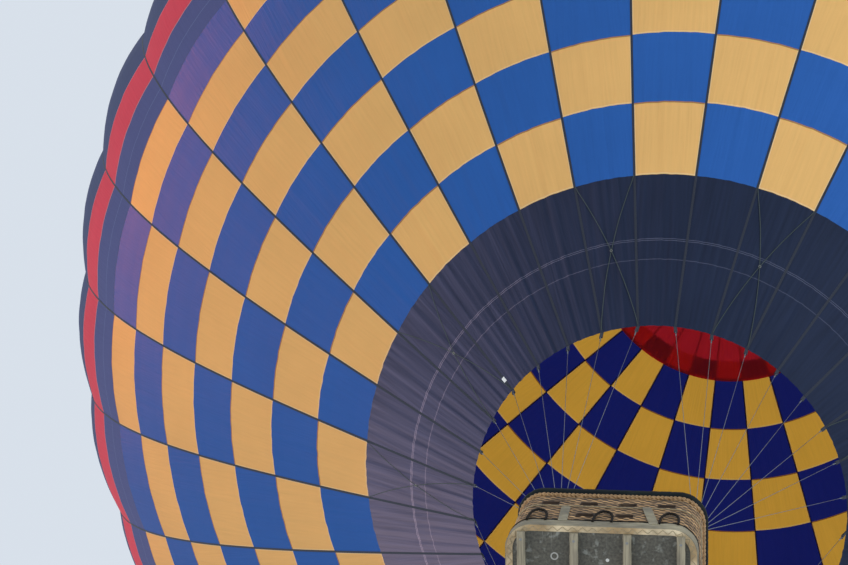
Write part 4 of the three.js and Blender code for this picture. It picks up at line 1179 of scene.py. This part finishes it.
class BALLOON_OT_basket(bpy.types.Operator):
    """Woven wall, padded rim, scuff band, handles, straps, floor and runners"""
    bl_idname = "balloon.basket"
    bl_label = "Basket"

    def execute(self, context):
        sizes, colours = context.scene.balloon_sizes, context.scene.balloon_colours
        hide = hide_finish("worn_scuff_hide", colours.hide, "a79c80", 0.7)
        pale = hide_finish("laced_edge_hide", linear("b0946a"), "f6e6c2", 0.8)
        dark = hide_finish("padded_rim_hide", colours.rim, "252e30", 0.3, gloss=0.15)
        rope = rope_finish("dark_handle_rope", linear("241f1b"))
        lacing = rope_finish("pale_lacing", linear("a8987a"))
        board = board_finish("painted_floor_board", colours.board)
        wood = wood_finish("worn_runner_wood", colours.wood)

        basket_wall(cane_finish("woven_cane", colours.cane))
        basket_rim(dark, braid_finish("braided_cane_border", colours.cane), rope)
        basket_base(hide, pale, lacing)
        piece("rope_handles", rope_handles(sizes.rope), rope)
        piece("wall_straps", wall_straps(), hide)

        path, walked = round_basket(0.02, 0.004, 0.67)
        path[:, 2] += 0.003 * np.sin(walked * 9)
        piece("wall_cord", [carried(path, ring(0.005, 8), closed=True)], lacing)
        path, walked = round_basket(0.02, 0.006, 0.215)
        path[:, 2] += 0.005 * np.sin(walked * 5) + 0.003 * np.sin(walked * 13)
        piece("band_rope", [carried(path, ring(0.007, 8), closed=True)], rope)

        node_copy("floor_board", "basket_floor", board, "root", 0.003)
        for index, x in enumerate(RUNNER_PLACES):
            name = f"runner_{index + 1}"
            piece("worn_" + name, runner_parts(x, index), wood, replaced=[name])
        head = ((0, -0.0005), (0.012, -0.0005), (0.015, 0.001), (0.015, 0.006), (0, 0.006))
        bolts = [turned(head, x, y, 20) for x in RUNNER_PLACES for y in BOLTS_Y]
        steel = metal_finish("runner_bolt_steel", linear("9a9a96"), 0.5, (90, 90, 90))
        piece("runner_bolts", bolts, steel)
        return {"FINISHED"}


def partition_lines():
    """Name, start and end of each partition's middle line: two across the basket, one along each end."""
    inside = HALF_X - WALL - SEAT
    for name, side in (("front", -1), ("rear", 1)):
        middle = side * (PILOT_HALF + PARTITION / 2)
        yield "cross_partition_" + name, np.array((-inside, middle)), np.array((inside, middle))
        start, end = side * (PILOT_HALF + PARTITION + SEAT), side * (HALF_Y - WALL - 2 * SEAT)
        yield "long_partition_" + name, np.array((0, start)), np.array((0, end))


def cylinder_profiles():
    """A cylinder from its foot ring over its shoulder to its valve guard, and the valve inside the guard."""
    bottom, top, radius = FLOOR_TOP + SEAT, FLOOR_TOP + CYLINDER_HEIGHT, CYLINDER_RADIUS
    bend = np.linspace(0, np.pi / 2, 9)
    shell = [(0, bottom + 0.02), (radius * 0.7, bottom + 0.02), (radius * 0.7, bottom),
             (radius * 0.78, bottom), (radius * 0.78, bottom + 0.04)]
    shell += [(radius * (0.78 + 0.22 * math.sin(t)), bottom + 0.09 - 0.05 * math.cos(t)) for t in bend[1:]]
    shell += [(radius, bottom + 0.40), (radius + 0.002, bottom + 0.404), (radius + 0.002, bottom + 0.412),
              (radius, bottom + 0.416)]
    shell += [(radius * (0.6 + 0.4 * math.cos(t)), top - 0.19 + 0.085 * math.sin(t)) for t in bend]
    shell += [(radius * 0.6, top - 0.002), (radius * 0.59, top), (radius * 0.55, top),
              (radius * 0.54, top - 0.002), (radius * 0.54, top - 0.095), (0, top - 0.09)]
    valve = [(0, top - 0.093), (0.022, top - 0.093), (0.022, top - 0.06), (0.014, top - 0.055),
             (0.014, top - 0.035), (0.026, top - 0.032), (0.026, top - 0.018), (0, top - 0.016)]
    return shell, valve


class BALLOON_OT_inside(bpy.types.Operator):
    """Partitions and fuel cylinders"""
    bl_idname = "balloon.inside"
    bl_label = "Partitions and cylinders"

    def execute(self, context):
        colours = context.scene.balloon_colours
        cane = cane_finish("partition_cane", colours.cane)
        trim = hide_finish("partition_trim_hide", colours.hide, "b9ad97", 0.4)
        alloy = metal_finish("welded_aluminium_cylinder", colours.aluminium, 0.38, (30, 30, 300))
        caps = []
        for name, start, end in partition_lines():
            size = np.linalg.norm(end - start)
            direction = (end - start) / size
            along = steps(0, size, 0.018)
            for face, way in (("a", 1), ("b", -1)):
                out = np.array((direction[1], -direction[0])) * way
                place = start + along[:, None] * direction + out * (PARTITION / 2 - WEAVE_INSET)
                columns = [part[::way] for part in (place, np.tile(out, (len(along), 1)), along)]
                woven(f"{name}_weave_{face}", columns, woven_rows(2), cane, [name])
            half = np.abs(direction[::-1]) * (PARTITION / 2)
            low = np.append(np.minimum(start, end) - half, RIM_BOTTOM - 0.03)
            high = np.append(np.maximum(start, end) + half, RIM_BOTTOM)
            caps.append(slab(low, high, 0.012))
        piece("partition_caps", caps, trim)

        shell, valve = cylinder_profiles()
        for name, (sx, sy) in CORNERS.items():
            x, y = sx * CYLINDER_X, sy * CYLINDER_Y
            piece("cylinder_" + name, [turned(shell, x, y, 56), turned(valve, x, y, 20)], alloy,
                  replaced=["fuel_cylinder_" + name])
        return {"FINISHED"}


class BALLOON_OT_stage(bpy.types.Operator):
    """Floor, soft lights, pale background and the camera below the mouth"""
    bl_idname = "balloon.stage"
    bl_label = "Stage"

    def execute(self, context):
        scene = context.scene
        scene.view_settings.view_transform = "Standard"
        floor = bpy.data.meshes.new("studio_floor")
        corners = [(x * STUDIO_REACH, y * STUDIO_REACH, STUDIO_FLOOR) for x, y in CORNERS.values()]
        floor.from_pydata(corners, [], [(2, 3, 0, 1)])
        paint, _, _ = blank("painted_studio_floor", Roughness=0.9, Base_Color=linear("e2e4e6"))
        floor.materials.append(paint)
        ground = bpy.data.objects.new("studio_floor", floor)
        scene.collection.objects.link(ground)

        world = bpy.data.worlds.new("pale_studio")
        scene.world = world
        world.use_nodes = True
        background = world.node_tree.nodes["Background"]
        background.inputs["Color"].default_value = (0.80, 0.87, 0.96, 1)
        background.inputs["Strength"].default_value = 0.86

        # Two soft suns that light one side of the checks and of the cone only
        warm = self.light("warm_side_light", "SUN", 3.6, (1.0, 0.16, 0.0), (-0.73, -0.117, 0.674),
                          (-40, -6, 40))
        warm.data.angle = math.radians(30)
        warm.light_linking.receiver_collection = self.group("cloth_in_the_warm_light", BANDS[2:4])
        glow = self.light("cone_side_light", "SUN", 16.0, (1.0, 0.66, 0.58), (-0.70, 0.62, -0.35),
                          (-40, 36, -20))
        glow.data.angle = math.radians(40)
        cone = self.group("cloth_in_the_side_light", BANDS[:2])
        glow.light_linking.receiver_collection = cone
        glow.light_linking.blocker_collection = cone

        # Two large lamps for the whole balloon, which leave the floor evenly lit by the background
        side = self.light("soft_side_light", "AREA", 3600, (1.0, 0.96, 0.93), (-26.0, 2, -25), (-26, 2, -13))
        cool = self.light("cool_fill", "AREA", 5200, (0.84, 0.94, 1.0), (22.0, -14, -26), (24, -16, -13))
        unlit = bpy.data.collections.new("floor_left_even")
        unlit.objects.link(ground)
        unlit.collection_objects[0].light_linking.link_state = "EXCLUDE"
        for lamp, size in ((side, 20.0), (cool, 26.0)):
            lamp.data.shape, lamp.data.size = "DISK", size
            lamp.light_linking.receiver_collection = unlit

        view = bpy.data.cameras.new("photo_view")
        view.lens, view.sensor_width = CAMERA_LENS, 36.0
        view.clip_start, view.clip_end = 0.1, 10000
        camera = bpy.data.objects.new("photo_view", view)
        ahead, above = np.array(CAMERA_AHEAD), np.array(CAMERA_ABOVE)
        ahead /= np.linalg.norm(ahead)
        above -= ahead * (above @ ahead)
        above /= np.linalg.norm(above)
        turn = np.column_stack((np.cross(ahead, above), above, -ahead))
        camera.matrix_world = Matrix.Translation(CAMERA_PLACE) @ Matrix(turn.tolist()).to_4x4()
        scene.collection.objects.link(camera)
        scene.camera = camera
        return {"FINISHED"}

    def light(self, name, kind, energy, shade, toward, place):
        """A lamp at a place that shines from a direction."""
        source = bpy.data.lights.new(name, kind)
        source.energy, source.color = energy, shade
        lamp = bpy.data.objects.new(name, source)
        lamp.location = place
        lamp.rotation_mode = "QUATERNION"
        lamp.rotation_quaternion = Vector(toward).to_track_quat("Z", "Y")
        bpy.context.scene.collection.objects.link(lamp)
        return lamp

    def group(self, name, bands):
        """A collection of the cloth of some bands."""
        made = bpy.data.collections.new(name)
        for band in bands:
            made.objects.link(bpy.data.objects[band[0]])
        return made


class BALLOON_PT_panel(bpy.types.Panel):
    """Sizes, colours and pieces of the balloon"""
    bl_idname = "BALLOON_PT_panel"
    bl_label = "Hot Air Balloon"
    bl_space_type = "VIEW_3D"
    bl_region_type = "UI"
    bl_category = "Balloon"

    def draw(self, context):
        for group in (context.scene.balloon_sizes, context.scene.balloon_colours):
            for name in group.bl_rna.properties.keys():
                if name not in ("rna_type", "name"):
                    self.layout.prop(group, name)
        for made in OPERATORS:
            self.layout.operator(made.bl_idname)


OPERATORS = (BALLOON_OT_envelope, BALLOON_OT_tapes, BALLOON_OT_rigging, BALLOON_OT_frame, BALLOON_OT_burners,
             BALLOON_OT_basket, BALLOON_OT_inside, BALLOON_OT_stage)
CLASSES = (BalloonSizes, BalloonColours, *OPERATORS, BALLOON_PT_panel)


def register():
    for made in CLASSES:
        bpy.utils.register_class(made)
    bpy.types.Scene.balloon_sizes = bpy.props.PointerProperty(type=BalloonSizes)
    bpy.types.Scene.balloon_colours = bpy.props.PointerProperty(type=BalloonColours)


def unregister():
    del bpy.types.Scene.balloon_colours
    del bpy.types.Scene.balloon_sizes
    for made in reversed(CLASSES):
        bpy.utils.unregister_class(made)


def main():
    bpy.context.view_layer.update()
    register()
    for made in OPERATORS:
        getattr(bpy.ops.balloon, made.bl_idname.split(".")[1])()
    bpy.context.view_layer.update()


if __name__ == "__main__":
    main()
